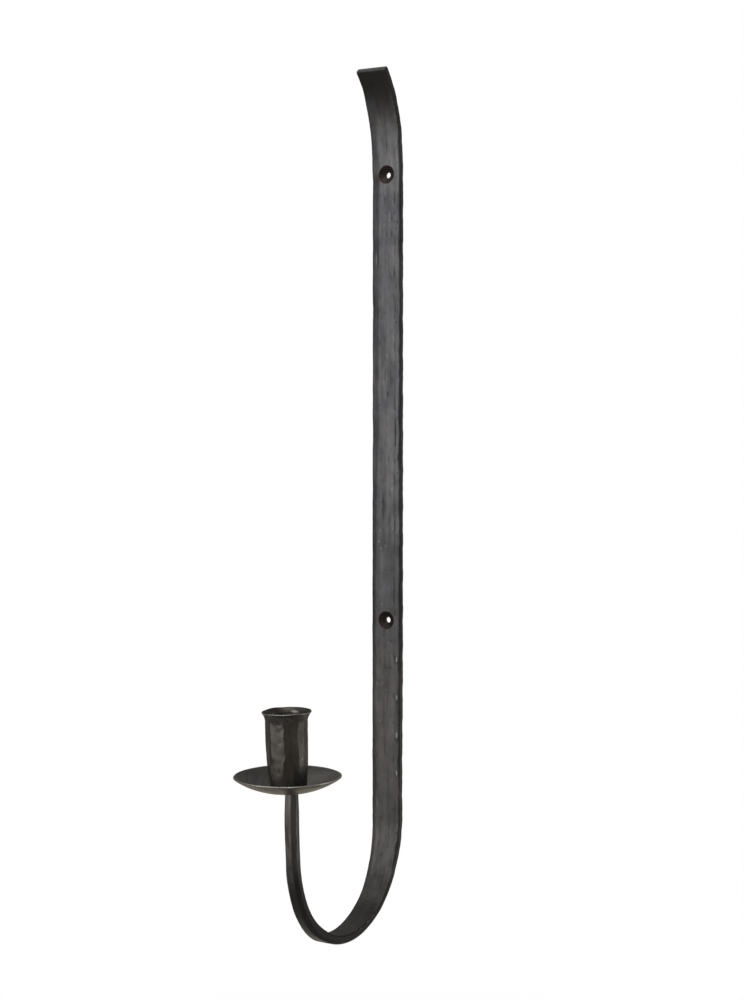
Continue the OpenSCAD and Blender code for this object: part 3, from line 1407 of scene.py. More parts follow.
        rise = self.arm_z + self._steps(self.arm_top - self.arm_z) * (self.arm_top - self.arm_z)
        flat = np.ones_like(rise)
        rows.append(np.stack([flat * self.arm_axis, rise, flat * math.pi, flat * 2], -1)[1:])
        return np.concatenate(rows)

    def _steps(self, length: float) -> np.ndarray:
        """Even steps from 0 to 1 over a length, about one ring step apart."""
        return np.linspace(0.0, 1.0, max(2, round(length / self.ring_step)))

    def _taper(self, values: tuple[float, ...], taper: np.ndarray) -> np.ndarray:
        """A size along the taper, from its values at 0, 0.5, 1, 1.5 and 2."""
        return np.interp(taper, np.linspace(0.0, 2.0, len(values)), values)

    def outline(self, width: float, thickness: float, radius: float) -> np.ndarray:
        """The bar's rounded rectangle, with more points on its corners.

        Args:
            width: across the bar.
            thickness: through the bar.
            radius: of its corners.

        Returns:
            Points from the middle of the inner face round to it again, without the last.
        """
        half = np.array([width / 2 - radius, thickness / 2 - radius])
        corner = half + radius * arc(np.linspace(90.0, 0.0, 13))[:, ::-1]
        right = np.concatenate([[[0.0, thickness / 2]], corner, corner[::-1] * [1, -1]])
        left = right[::-1] * [-1, 1]
        loop = np.concatenate([right, [[0.0, -thickness / 2]], left, right[:1]])
        step = np.diff(loop, axis=0)
        length = np.hypot(step[:, 0], step[:, 1])
        heading = np.unwrap(np.arctan2(step[:, 1], step[:, 0]))
        bend = np.abs(np.diff(np.concatenate([heading, heading[:1] - TURN])))
        share = (1.0 - self.corner_share) * length / length.sum()
        share = share + self.corner_share * bend / bend.sum()
        travelled = np.concatenate([[0.0], np.cumsum(share)])
        wanted = np.linspace(0.0, travelled[-1], self.around, endpoint=False)
        return np.stack([np.interp(wanted, travelled, loop[:, k]) for k in (0, 1)], -1)

    def hammer_strap(
        self, section: np.ndarray, run: np.ndarray, height: np.ndarray, share: np.ndarray
    ) -> np.ndarray:
        """Bevels the strap's face along its edges, and hammers its face and sides.

        Args:
            section: points as rings by points by 2, across and through the bar.
            run: the length along the bar at each ring.
            height: the height of each ring.
            share: how much of the bar is still strap at each ring.

        Returns:
            The hammered points.
        """
        across, through = section[..., 0], section[..., 1]
        height, share = height[:, None], share[:, None]
        half = np.abs(across).max(axis=1, keepdims=True)
        lowered = self._bevels(across, run, height, share)
        lowered = lowered + self.planishing.relief(across, run)
        for mark in self.marks:
            lowered = lowered + mark.relief(across, height)
        front = ramp(through, -self.strap_t / 2, self.strap_t / 2)
        through = through - front * share * lowered
        left = self.left_dents.at(run)[:, None] - self.left_swell + self.shoulder.at(height)
        right = self.right_dents.at(run)[:, None] + self.right_inset + self.waist.at(height)
        sideways = (np.abs(across) / half) ** 6 * share * np.where(across < 0, left, right)
        return np.stack([across - np.sign(across) * sideways, through], -1)

    def _bevels(
        self, across: np.ndarray, run: np.ndarray, height: np.ndarray, share: np.ndarray
    ) -> np.ndarray:
        """The bevels and rounded corners down the strap's two edges.

        Args:
            across: the place across the bar of each point.
            run: the length along the bar at each ring.
            height: the height of each ring, as a column.
            share: how much of the bar is still strap at each ring, as a column.

        Returns:
            How far they lower the face at each point.
        """
        along = run[:, None]
        half = np.abs(across).max(axis=1, keepdims=True)
        from_left, from_right = half + across, half - across
        upper = ramp(height, *self.upper_strap)
        rolled = self.edge_growth * self.edge_blows.relief(across * 0.0, run)
        drop = self.left_bevel.drop(along, from_left, self.left_widening * upper)
        drop = drop + self.left_corner.drop(along, from_left)
        drop = drop + self.right_bevel.drop(along, from_right)
        corner = self.right_corner.drop(along, from_right, rolled)
        drop = drop + corner * ramp(share, *self.corner_ends)
        return drop * np.maximum(ramp(height, *self.bevel_ends), self.bevel_least)

    def hammer_arm(self, section: np.ndarray, run: np.ndarray, share: np.ndarray) -> np.ndarray:
        """Flattens the round arm into long hammered flats.

        Args:
            section: points as rings by points by 2, across and through the bar.
            run: the length along the bar at each ring.
            share: how much of the bar is round arm at each ring.

        Returns:
            The hammered points.
        """
        reach = np.zeros(section.shape[:2])
        for flat in self.flats:
            towards = flat.direction(run)[:, None]
            out = section[..., 0] * np.cos(towards) + section[..., 1] * np.sin(towards)
            limit = out.max(axis=1, keepdims=True) * (1.0 - flat.dip(run)[:, None])
            reach = np.maximum(reach, out / limit - 1.0)
        share = share[:, None]
        fuller = self.fuller + self.bend_fuller * np.clip(4.0 * share * (1.0 - share), 0.0, 1.0)
        blows = self.blow_share * self.arm_blows.relief(reach * 0.0, run)
        excess = soft_ramp(reach, self.flat_blend) + blows - fuller
        return section / (1.0 + excess * share)[..., None]

    def rings(self) -> tuple[np.ndarray, np.ndarray]:
        """The bar's skin.

        Returns:
            Its points and its grain, for make_piece.
        """
        outward, height, angle, taper = self.centreline().T
        run = np.concatenate([[0.0], np.cumsum(np.hypot(np.diff(outward), np.diff(height)))])
        width = self._taper(self.widths, taper)
        thickness = self._taper(self.thicknesses, taper)
        radius = self._taper(self.roundings, taper)
        neck = ramp(height, self.arm_top - self.neck_h, self.arm_top)
        neck = np.where(taper >= 2.0, neck, 0.0)
        width = width + (self.neck_d - width) * neck
        thickness = thickness + (self.neck_d - thickness) * neck
        section = np.stack([self.outline(*size) for size in zip(width, thickness, radius)])
        section = np.roll(section, self.around // 2, axis=1)
        section = self.hammer_strap(section, run, height, ramp(taper, *self.strap_ends))
        section = self.hammer_arm(section, run, ramp(taper, *self.arm_starts))
        section = self._round_ends(section, run)
        points = self._placed(section, outward, height, angle, taper > 1.0)
        points = points + self._skewed_cut(points[..., 0], run, angle[0])
        across = lengths_round(section)
        across = across - across[:, self.around // 2, None] + self.grain_start
        grain = np.stack([across, np.broadcast_to(run[:, None], across.shape)], -1)
        return points, grain

    def _placed(
        self,
        section: np.ndarray,
        outward: np.ndarray,
        height: np.ndarray,
        angle: np.ndarray,
        on_arm: np.ndarray,
    ) -> np.ndarray:
        """Puts the sections on the mid-line, with the forging's sways.

        Args:
            section: points as rings by points by 2, across and through the bar.
            outward: the mid-line's reach from the wall at each ring.
            height: its height at each ring.
            angle: of the inner face's normal at each ring, in radians.
            on_arm: whether each ring is past the lowest point.

        Returns:
            The points, none of them behind the wall face.
        """
        sway = np.where(on_arm, self.arm_sway.at(height), self.bend_sway.at(height))
        belly = np.where(on_arm, self.belly.at(height), 0.0)
        angle = angle[:, None]
        x = section[..., 0] + sway[:, None]
        y = -((outward + belly)[:, None] + section[..., 1] * np.cos(angle))
        z = height[:, None] + section[..., 1] * np.sin(angle)
        return np.stack([x, np.minimum(y, 0.0), z], -1)

    def _skewed_cut(self, across: np.ndarray, run: np.ndarray, angle: float) -> np.ndarray:
        """Draws the tip of the curl out a little, and more on its left.

        Args:
            across: the place across the bar of each point.
            run: the length along the bar at each ring.
            angle: of the inner face's normal at the tip.

        Returns:
            The shift of each point.
        """
        tip = np.array([0.0, math.sin(angle), math.cos(angle)])
        fade = ramp(run, self.tip_length, 0.0)[:, None]
        return ((self.tip_draw - self.tip_skew * across) * fade)[..., None] * tip

    def _round_ends(self, section: np.ndarray, run: np.ndarray) -> np.ndarray:
        """Draws the first rings in, so that the tip of the curl has soft edges.

        Args:
            section: points as rings by points by 2, across and through the bar.
            run: the length along the bar at each ring.

        Returns:
            The drawn-in points.
        """
        before = np.maximum(self.tip_soft - run, 0.0)
        inset = self.tip_soft - np.sqrt(self.tip_soft**2 - before**2)
        half = np.abs(section).max(axis=1, keepdims=True)
        return section * (1.0 - inset[:, None, None] / half)

    def screw_hole(self, height: float) -> bpy.types.Object:
        """The cutter for one countersunk hole, with the drill's chatter rings in it.

        Args:
            height: of the hole's centre.

        Returns:
            The cutter.
        """
        sink_r = self.sink_d / 2
        depth = (sink_r - self.hole_r) / math.tan(math.radians(self.sink_angle / 2))
        part = np.linspace(0.0, 1.0, 29)
        chatter = self.chatter * np.sin(TURN * self.chatter_rings * part) * np.sin(math.pi * part)
        radius = self.hole_r + (sink_r - self.hole_r) * part + chatter
        cone = np.stack([radius, self.strap_t - depth + depth * part], -1)
        lip = np.array(self.sink_lip) + [sink_r, self.strap_t]
        points = revolved(np.concatenate([[[self.hole_r, -2.0]], cone, lip]), 96)
        points = np.stack([points[..., 0], -points[..., 2], points[..., 1] + height], -1)
        return make_piece("screw_hole", points)

    def build(self, finish: bpy.types.Material) -> None:
        """Makes the forging and puts it in the CAD bar's place.

        Args:
            finish: its material.
        """
        points, grain = self.rings()
        piece = make_piece("forged_hook", points, grain)
        floor = NodeBox(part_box("fixing_screw")).bottom - self.tap_spare
        top = self.arm_top + 2.0
        tapped = drill(SCREW_BORE_R, floor, top, -self.arm_axis, "tapped_hole")
        carve(piece, [self.screw_hole(self.hole_z), self.screw_hole(-self.hole_z), tapped])
        dress(piece, "hook_bar", finish)


# The pan and the socket


@dataclass
class DripPan:
    """The dished sheet that catches the wax.

    Attributes:
        dish_r: the radius of the underside of its dished wall.
        sheet_t: the sheet's thickness.
        seat_r: the radius of its flat seat.
        rim_soft: the radius of its rounded rim.
        rim_turn: the angles of the points round the rim, with a facet on its outside.
        rim_gap: the angle between the wall's last points and the rim, in radians.
        sides: the number of points round the pan.
        lifts: how the rim rises and falls.
        pressed_at: where the rim is pressed down and outwards, in degrees.
        pressed_down: how far down it is pressed there.
        pressed_out: how far outwards, as a share of the radius.
        drawn_in: how far the rest of the rim is drawn in, as a share of the radius.
        hollow: how far the wall sinks on its left side.
        dents: the depth of the wall's hammer marks.
    """

    dish_r: float = 55.0
    sheet_t: float = 1.0
    seat_r: float = 11.2
    rim_soft: float = 0.45
    rim_turn: tuple[float, ...] = (90.0, 60.0, 30.0, -24.0, -58.0, -90.0)
    rim_gap: float = 0.009
    sides: int = 240
    lifts: tuple[RimWave, ...] = (RimWave(0.14, 1, 0.8), RimWave(0.08, 3, 2.0))
    pressed_at: float = -22.0
    pressed_down: float = 0.3
    pressed_out: float = 0.02
    drawn_in: float = 0.004
    hollow: float = 0.35
    dents: float = 0.05

    def __post_init__(self) -> None:
        """Takes the pan's place and size from the frame."""
        self.box = NodeBox(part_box("drip_pan"))

    def profile(self) -> np.ndarray:
        """The sheet's section, from the middle of its underside round the rim and back.

        Returns:
            Radius and height pairs, with the underside of the seat at height 0.
        """
        centre = math.sqrt(self.dish_r**2 - self.seat_r**2)
        rim = math.asin(self.box.radius / self.dish_r)
        inner_r = self.dish_r - self.sheet_t
        under = self._side(self.dish_r, math.acos(centre / self.dish_r), rim, centre)
        inside = self._side(inner_r, math.acos((centre - self.sheet_t) / inner_r), rim, centre)
        middle = np.linspace(1.0, 0.0, 9)[:-1]
        seat_under = np.stack([(1.0 - middle) * self.seat_r, 0.0 * middle], -1)
        seat_inside = np.stack([middle * inside[0, 0], 0.0 * middle + self.sheet_t], -1)
        along = np.array([math.cos(rim), math.sin(rim)])
        through = np.array([-math.sin(rim), math.cos(rim)])
        middle_rim = [0.0, centre] - through * (self.dish_r - self.sheet_t / 2)
        edge = self.rim_soft * arc(np.array(self.rim_turn))
        edge = middle_rim + (edge[:, 1:] - self.rim_soft) * along - edge[:, :1] * through
        return np.concatenate([seat_under[1:], under[:-1], edge, inside[::-1][1:], seat_inside[1:]])

    def _side(self, radius: float, start: float, end: float, centre: float) -> np.ndarray:
        """One side of the dished wall, from the seat to just short of the rim.

        Args:
            radius: of the wall's section.
            start: the angle at the seat, in radians.
            end: the angle at the rim, in radians.
            centre: the height of the section's centre.

        Returns:
            Radius and height pairs.
        """
        angle = np.linspace(start, end - self.rim_gap, 26)
        return np.stack([radius * np.sin(angle), centre - radius * np.cos(angle)], -1)

    def build(self, finish: bpy.types.Material) -> None:
        """Makes the pan and puts it in the CAD pan's place.

        Args:
            finish: its material.
        """
        points = revolved(self.profile(), self.sides)
        azimuth = np.arctan2(points[..., 0], -points[..., 1])
        radius = np.hypot(points[..., 0], points[..., 1])
        out = ramp(radius, self.seat_r, self.box.radius)
        pressed = facing(azimuth, self.pressed_at, 2)
        lift = sum(wave.at(azimuth) for wave in self.lifts) - self.pressed_down * pressed
        dents = np.sin(9.0 * azimuth + 0.35 * radius) * np.sin(0.55 * radius + 1.0)
        sag = self.dents * dents - self.hollow * facing(azimuth, LEFT_EDGE)
        points[..., 2] += out * lift + np.sin(math.pi * out) * sag
        shrink = 1.0 - out**2 * (self.drawn_in - self.pressed_out * pressed)
        points[..., :2] *= shrink[..., None]
        points += [0.0, self.box.middle_y, self.box.bottom]
        piece = make_piece("drip_pan_dished", points)
        floor, top = self.box.bottom - 1.0, self.box.bottom + self.sheet_t + 1.0
        screw_y = NodeBox(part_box("fixing_screw")).middle_y
        carve(piece, [drill(SCREW_BORE_R, floor, top, screw_y, "pan_hole")])
        dress(piece, "drip_pan", finish)


@dataclass
class CandleSocket:
    """The rolled tube for the candle, hammered outside and true in its bore.

    Attributes:
        record: the frame's record, which gives the bore and its lean.
        height: of the tube.
        wall: the sheet's thickness.
        foot_d: the outer diameter of the foot.
        lip_d: the outer diameter of the lip, before it is pulled about.
        lip_h: how far below the lip the bore ends.
        trumpet_h: how much further down the tube starts to open.
        trumpet: how late it opens. A larger power opens it later.
        taper_h: the height below which the tube is drawn in to its foot.
        sides: the number of points round the tube.
        marks: the single dents and lumps near the lip. Their places across are lengths
            round the tube from its front.
        flats: the long hammered flats.
        flat_blend: the size of the rounded corner between two flats, as a share.
        flats_start: the heights above the foot at which the flats start and are whole.
        flats_end: the heights above the end of the bore where they are gone and are whole.
        ripple: the small waves round the outside, which wind once in ripple_h upwards.
        upright_at: where the foot isn't drawn in, in degrees.
        upright: how far it isn't, as a share of the drawing in.
        tuck: how much further the foot is drawn in on the left.
        lip_waves: the unevenness of the lip.
        lip_open: how many times wider the lip flares than lip_d says.
        lip_sway: how much of the lip's waves is added to that.
        pulled: what is added to that on the right, where the lip is pulled out.
        thinned: how much thinner the lip is than the sheet.
        lip_rise: how much of the lip's waves shows in its height.
        droop: how far the lip hangs.
        front_at: the direction in which the lip stands up, in degrees, and front_rise how
            far it does.
        tuck_droop: how much further it hangs on the left.
        nicks: the height of the small waves along the lip.
        tilt_h: how far below the end of the bore the lip's rise and fall begins.
        level_h: the height over which the level foot gives way to the lean.
    """

    record: dict[str, Any]
    height: float = 44.0
    wall: float = 1.1
    foot_d: float = 21.2
    lip_d: float = 27.3
    lip_h: float = 3.6
    trumpet_h: float = 1.2
    trumpet: float = 1.7
    taper_h: float = 31.0
    sides: int = 288
    marks: tuple[Mark, ...] = (
        Mark(38.4, 2.7, 1.5, 2.6, 0.24),
        Mark(39.4, 6.6, 1.4, 4.4, 0.22),
        Mark(37.2, 0.4, 3.4, 1.3, 0.18),
        Mark(36.2, 2.9, 2.2, 1.5, -0.16),
        Mark(34.2, 1.2, 2.6, 1.6, 0.16),
        Mark(36.8, 5.6, 2.4, 1.8, 0.16),
        Mark(28.4, 3.2, 1.8, 2.0, 0.16),
        Mark(19.1, 3.6, 1.8, 1.1, -0.16),
        Mark(14.1, 2.6, 2.4, 1.1, -0.16),
    )
    flats: tuple[Flat, ...] = (
        Flat(-35.0, 0.050, 5.0, 31.0, 0.5, 0.15),
        Flat(6.5, 0.066, 5.0, 29.0, 2.2, 0.1),
        Flat(40.0, 0.034, 6.0, 29.0, 2.4, 0.1),
        Flat(78.0, 0.014, 5.0, 52.0, 1.2, 0.2),
        Flat(122.0, 0.026, 6.0, 44.0, 3.0, 0.2),
        Flat(168.0, 0.050, 5.0, 37.0, 5.3, 0.2),
        Flat(214.0, 0.046, 5.0, 41.0, 0.2, 0.2),
        Flat(270.0, 0.050, 6.0, 39.0, 3.7, 0.2),
    )
    flat_blend: float = 0.0036
    flats_start: Span = (0.5, 11.5)
    flats_end: Span = (1.0, -2.0)
    ripple: RimWave = RimWave(0.03, 4, 1.0)
    ripple_h: float = 3.0
    upright_at: float = 6.0
    upright: float = 1.15
    tuck: float = 0.95
    lip_waves: tuple[RimWave, ...] = (RimWave(0.42, 1, 1.7), RimWave(0.28, 3, 0.4))
    lip_open: float = 1.4
    lip_sway: float = 0.25
    pulled: float = 0.26
    thinned: float = 0.34
    lip_rise: float = 0.45
    droop: float = 0.25
    front_at: float = 30.0
    front_rise: float = 0.5
    tuck_droop: float = 0.3
    nicks: float = 0.07
    tilt_h: float = 4.0
    level_h: float = 6.0

    def __post_init__(self) -> None:
        """Takes the socket's place, bore and lean from the frame."""
        bore = mount(self.record, "candle_bore")
        self.bore_r = bore["dims"]["r_mm"]
        self.lean = math.atan2(-bore["axis"][1], bore["axis"][2])
        self.axis_y = NodeBox(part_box("drip_pan")).middle_y
        self.seat = NodeBox(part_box("candle_socket")).bottom
        self.outer_r = self.bore_r + self.wall
        self.flare_z = self.height - self.lip_h
        self.bore_z = self.flare_z - bore["dims"]["length_mm"]

    def heights(self) -> np.ndarray:
        """The height of each ring of the tube, as a column."""
        tube = np.linspace(0.0, self.flare_z, 56)
        lip = self.flare_z + self.lip_h * arc(np.linspace(9.0, 81.0, 9))[:, 0]
        return np.concatenate([tube, lip])[:, None]

    def hammered(self, rise: np.ndarray, azimuth: np.ndarray) -> np.ndarray:
        """The radius of the tube's outside, before its lip is opened.

        Args:
            rise: the height of each ring, as a column.
            azimuth: of each point round a ring, as a row.

        Returns:
            The radius at each point.
        """
        reach = np.zeros_like(rise)
        for flat in self.flats:
            towards = flat.direction(rise)
            reach = np.maximum(reach, np.cos(azimuth - towards) / (1.0 - flat.dip(rise)) - 1)
        body = ramp(rise, *self.flats_start) * ramp(rise - self.flare_z, *self.flats_end)
        foot = ramp(rise, self.taper_h, 0.0) ** 2
        upright = self.upright * facing(azimuth, self.upright_at, 4)
        sheet = self.outer_r - (self.outer_r - self.foot_d / 2) * foot * (1.0 - upright)
        sheet = sheet / (1.0 + soft_ramp(reach, self.flat_blend) * body)
        sheet = sheet + self.ripple.at(azimuth + rise / self.ripple_h) * body
        sheet = sheet - self.tuck * foot * facing(azimuth, LEFT_EDGE, 2)
        for mark in self.marks:
            sheet = sheet - mark.relief(azimuth * self.outer_r, rise)
        return sheet

    def lip_lift(self, rise: np.ndarray, azimuth: np.ndarray, lip: np.ndarray) -> np.ndarray:
        """How far the uneven lip rises or hangs.

        Args:
            rise: the height of each ring, as a column.
            azimuth: of each point round a ring, as a row.
            lip: the lip's waves at each azimuth.

        Returns:
            The lift at each point, which is 0 well below the lip.
        """
        tilt = ramp(rise, self.flare_z - self.tilt_h, self.height) ** 2
        hang = self.droop - self.front_rise * facing(azimuth, self.front_at)
        hang = hang + self.tuck_droop * facing(azimuth, LEFT_EDGE, 2)
        return tilt * (self.lip_rise * lip - hang + self.nicks * np.sin(6.0 * azimuth + 1.0))

    def build(self, finish: bpy.types.Material) -> None:
        """Makes the socket and puts it in the CAD socket's place.

        Args:
            finish: its material.
        """
        rise = self.heights()
        azimuth = np.linspace(-math.pi, math.pi, self.sides, endpoint=False)[None, :]
        lip = sum(wave.at(azimuth) for wave in self.lip_waves)
        pulled = self.pulled * facing(azimuth, RIGHT_EDGE, 2)
        opened = ramp(rise, self.flare_z - self.trumpet_h, self.height) ** self.trumpet
        opening = (self.lip_d / 2 - self.outer_r) * opened
        opening = opening * (self.lip_open + self.lip_sway * lip + pulled)
        thin = self.thinned * ramp(rise, self.flare_z, self.height)
        foot_r = self.foot_d / 2 - self.wall
        outside = self.hammered(rise, azimuth) + opening - thin
        inside = np.interp(rise, [0.0, self.bore_z], [foot_r, self.bore_r]) + opening + 0.3 * thin
        up = rise + self.lip_lift(rise, azimuth, lip)
        rings = [self._ring(outside, up, azimuth)]
        middle, half = (outside + inside)[-1:] / 2, (outside - inside)[-1:] / 2
        for sine, cosine in arc(np.linspace(30.0, 150.0, 5)):
            rings.append(self._ring(middle + half * cosine, up[-1:] + half * sine, azimuth))
        rings.append(self._ring(inside[::-1], up[::-1], azimuth))
        piece = make_piece("candle_tube", np.concatenate(rings), closed_profile=True)
        dress(piece, "candle_socket", finish, 50.0)

    def _ring(self, radius: np.ndarray, up: np.ndarray, azimuth: np.ndarray) -> np.ndarray:
        """Points on the leaning tube, cut off level at its foot.

        Args:
            radius: of each point, as rings by points.
            up: how far up the tube each point is.
            azimuth: of each point round a ring, as a row.

        Returns:
            The points in the frame.
        """
        forward = radius * np.cos(azimuth)
        leaning = ramp(up, 0.0, self.level_h)
        y = -(forward * math.cos(self.lean) + up * math.sin(self.lean))
        z = up * math.cos(self.lean) - leaning * forward * math.sin(self.lean)
        z = np.maximum(z, 0.0) + self.seat
        return np.stack([radius * np.sin(azimuth), y + self.axis_y, z], -1)


@dataclass
class SocketFloor:
    """The disc in the socket's foot.

    Attributes:
        chamfer: of its lower edge.
        worn_edge: the points of its upper edge, each in from the side and down from the top.
    """

    chamfer: float = 0.25
    worn_edge: tuple[Span, ...] = ((0.0, 0.35), (0.3, 0.05), (0.8, 0.0))

    def build(self, finish: bpy.types.Material) -> None:
        """Makes the disc with its soft edges, and bores it.

        Args:
            finish: its material.
        """
        box = NodeBox(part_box("socket_floor"))
        radius, top = box.radius, box.top - box.bottom
        under = [[AXIS_R, 0.0], [radius / 2, 0.0], [radius - self.chamfer, 0.0]]
        side = [[radius, self.chamfer], *([radius - x, top - z] for x, z in self.worn_edge)]
        profile = np.array([*under, *side, [radius / 2, top], [AXIS_R, top]])
        points = revolved(profile, 96) + [0.0, box.middle_y, box.bottom]
        piece = make_piece("socket_floor_disc", points)
        screw_y = NodeBox(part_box("fixing_screw")).middle_y
        hole = drill(SCREW_BORE_R, box.bottom - 1.0, box.top + 1.0, screw_y, "floor_hole")
        carve(piece, [hole])
        dress(piece, "socket_floor", finish)


@dataclass
class FixingScrew:
    """The slotted screw that holds the socket and the pan on the arm.

    Attributes:
        thread_d: the outer diameter of the thread.
        thread_h: the depth of the thread.
        pitch: of the thread.
        head_h: the height of the head.
        dome_z: the height at which its domed top starts.
        dome_w: the width of the dome's curve.
        slot_w: the width of the slot.
        slot_depth: the depth of the slot.
        tip_h: the length of the pointed tip.
        tip_draw: how far the tip is drawn in.
    """

    thread_d: float = 4.0
    thread_h: float = 0.42
    pitch: float = 0.7
    head_h: float = 2.6
    dome_z: float = 1.5
    dome_w: float = 0.9
    slot_w: float = 1.0
    slot_depth: float = 1.2
    tip_h: float = 0.8
    tip_draw: float = 0.5

    def shank(self, length: float) -> np.ndarray:
        """The threaded shank, which ends just below height 0.

        Args:
            length: of the shank.

        Returns:
            Rings of points.
        """
        rise = np.arange(-length, -0.6, self.pitch / 8)[:, None]
        azimuth = np.linspace(0.0, TURN, 32, endpoint=False)
        turn = (rise / self.pitch - azimuth / TURN) % 1.0
        crest = self.thread_d / 2 - self.thread_h * np.abs(2.0 * turn - 1.0)
        crest = crest - self.tip_draw * ramp(rise + length, self.tip_h, 0.0)
        up = np.broadcast_to(rise, crest.shape)
        return np.stack([crest * np.sin(azimuth), -crest * np.cos(azimuth), up], -1)

    def head(self, radius: float) -> np.ndarray:
        """The neck and the domed head, whose seat is at height 0.

        Args:
            radius: of the head.

        Returns:
            Rings of points.
        """
        neck = [[1.9, -0.5], [1.95, -0.001], [radius - 0.1, 0.0], [radius, 0.15]]
        size = [self.dome_w, self.head_h - self.dome_z]
        dome = [radius - self.dome_w, self.dome_z] + size * arc(np.linspace(90.0, 0.0, 10))
        cap = [[radius / 2, self.head_h], [AXIS_R, self.head_h]]
        return revolved(np.concatenate([neck, dome, cap]), 32)

    def build(self, finish: bpy.types.Material) -> None:
        """Makes the screw: a domed slotted head on a threaded shank.

        Args:
            finish: its material.
        """
        box = NodeBox(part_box("fixing_screw"))
        seat = box.top - self.head_h
        points = np.concatenate([self.shank(seat - box.bottom), self.head(box.radius)])
        piece = make_piece("slotted_screw", points + [0.0, box.middle_y, seat])
        corner = np.array([box.radius + 1.0, self.slot_w / 2])
        corners = corner * [[-1, -1], [1, -1], [1, 1], [-1, 1]] + [0.0, box.middle_y]
        heights = box.top - self.slot_depth, box.top + 1.0
        slot = np.stack([np.column_stack([corners, np.full(4, z)]) for z in heights])
        carve(piece, [make_piece("screw_slot", slot)])
        dress(piece, "fixing_screw", finish, 30.0)


# The studio


@dataclass
class Softbox:
    """One rectangular studio light.

    Attributes:
        name: the light's name.
        azimuth: where it stands round the object, in degrees from the front to the right.
        height: of its middle, in metres.
        distance: from the origin on the ground plan, in metres.
        width: in metres.
        tall: its height from edge to edge, in metres.
        radiance: how bright its face is.
        colour: of its light.
        spread: the angle of its beam, in degrees.
        target: the place that it points at, in metres.
    """

    name: str
    azimuth: float
    height: float
    distance: float
    width: float
    tall: float
    radiance: float
    colour: tuple[float, float, float] = (1.0, 1.0, 1.0)
    spread: float = 180.0
    target: tuple[float, float, float] = (0.0, -0.05, -0.05)

    def build(self) -> None:
        """Adds the light, turned to its target and out of the camera's sight."""
        lamp = bpy.data.lights.new(self.name, "AREA")
        lamp.shape = "RECTANGLE"
        lamp.size, lamp.size_y = self.width, self.tall
        lamp.energy = self.radiance * math.pi * self.width * self.tall
        lamp.color = self.colour
        lamp.spread = math.radians(self.spread)
        box = bpy.data.objects.new(self.name, lamp)
        turn = math.radians(self.azimuth)
        box.location = (
            self.distance * math.sin(turn), -self.distance * math.cos(turn), self.height
        )
        aim = Vector(self.target) - box.location
        box.rotation_euler = aim.to_track_quat("-Z", "Y").to_euler()
        box.visible_camera = False
        bpy.context.scene.collection.objects.link(box)


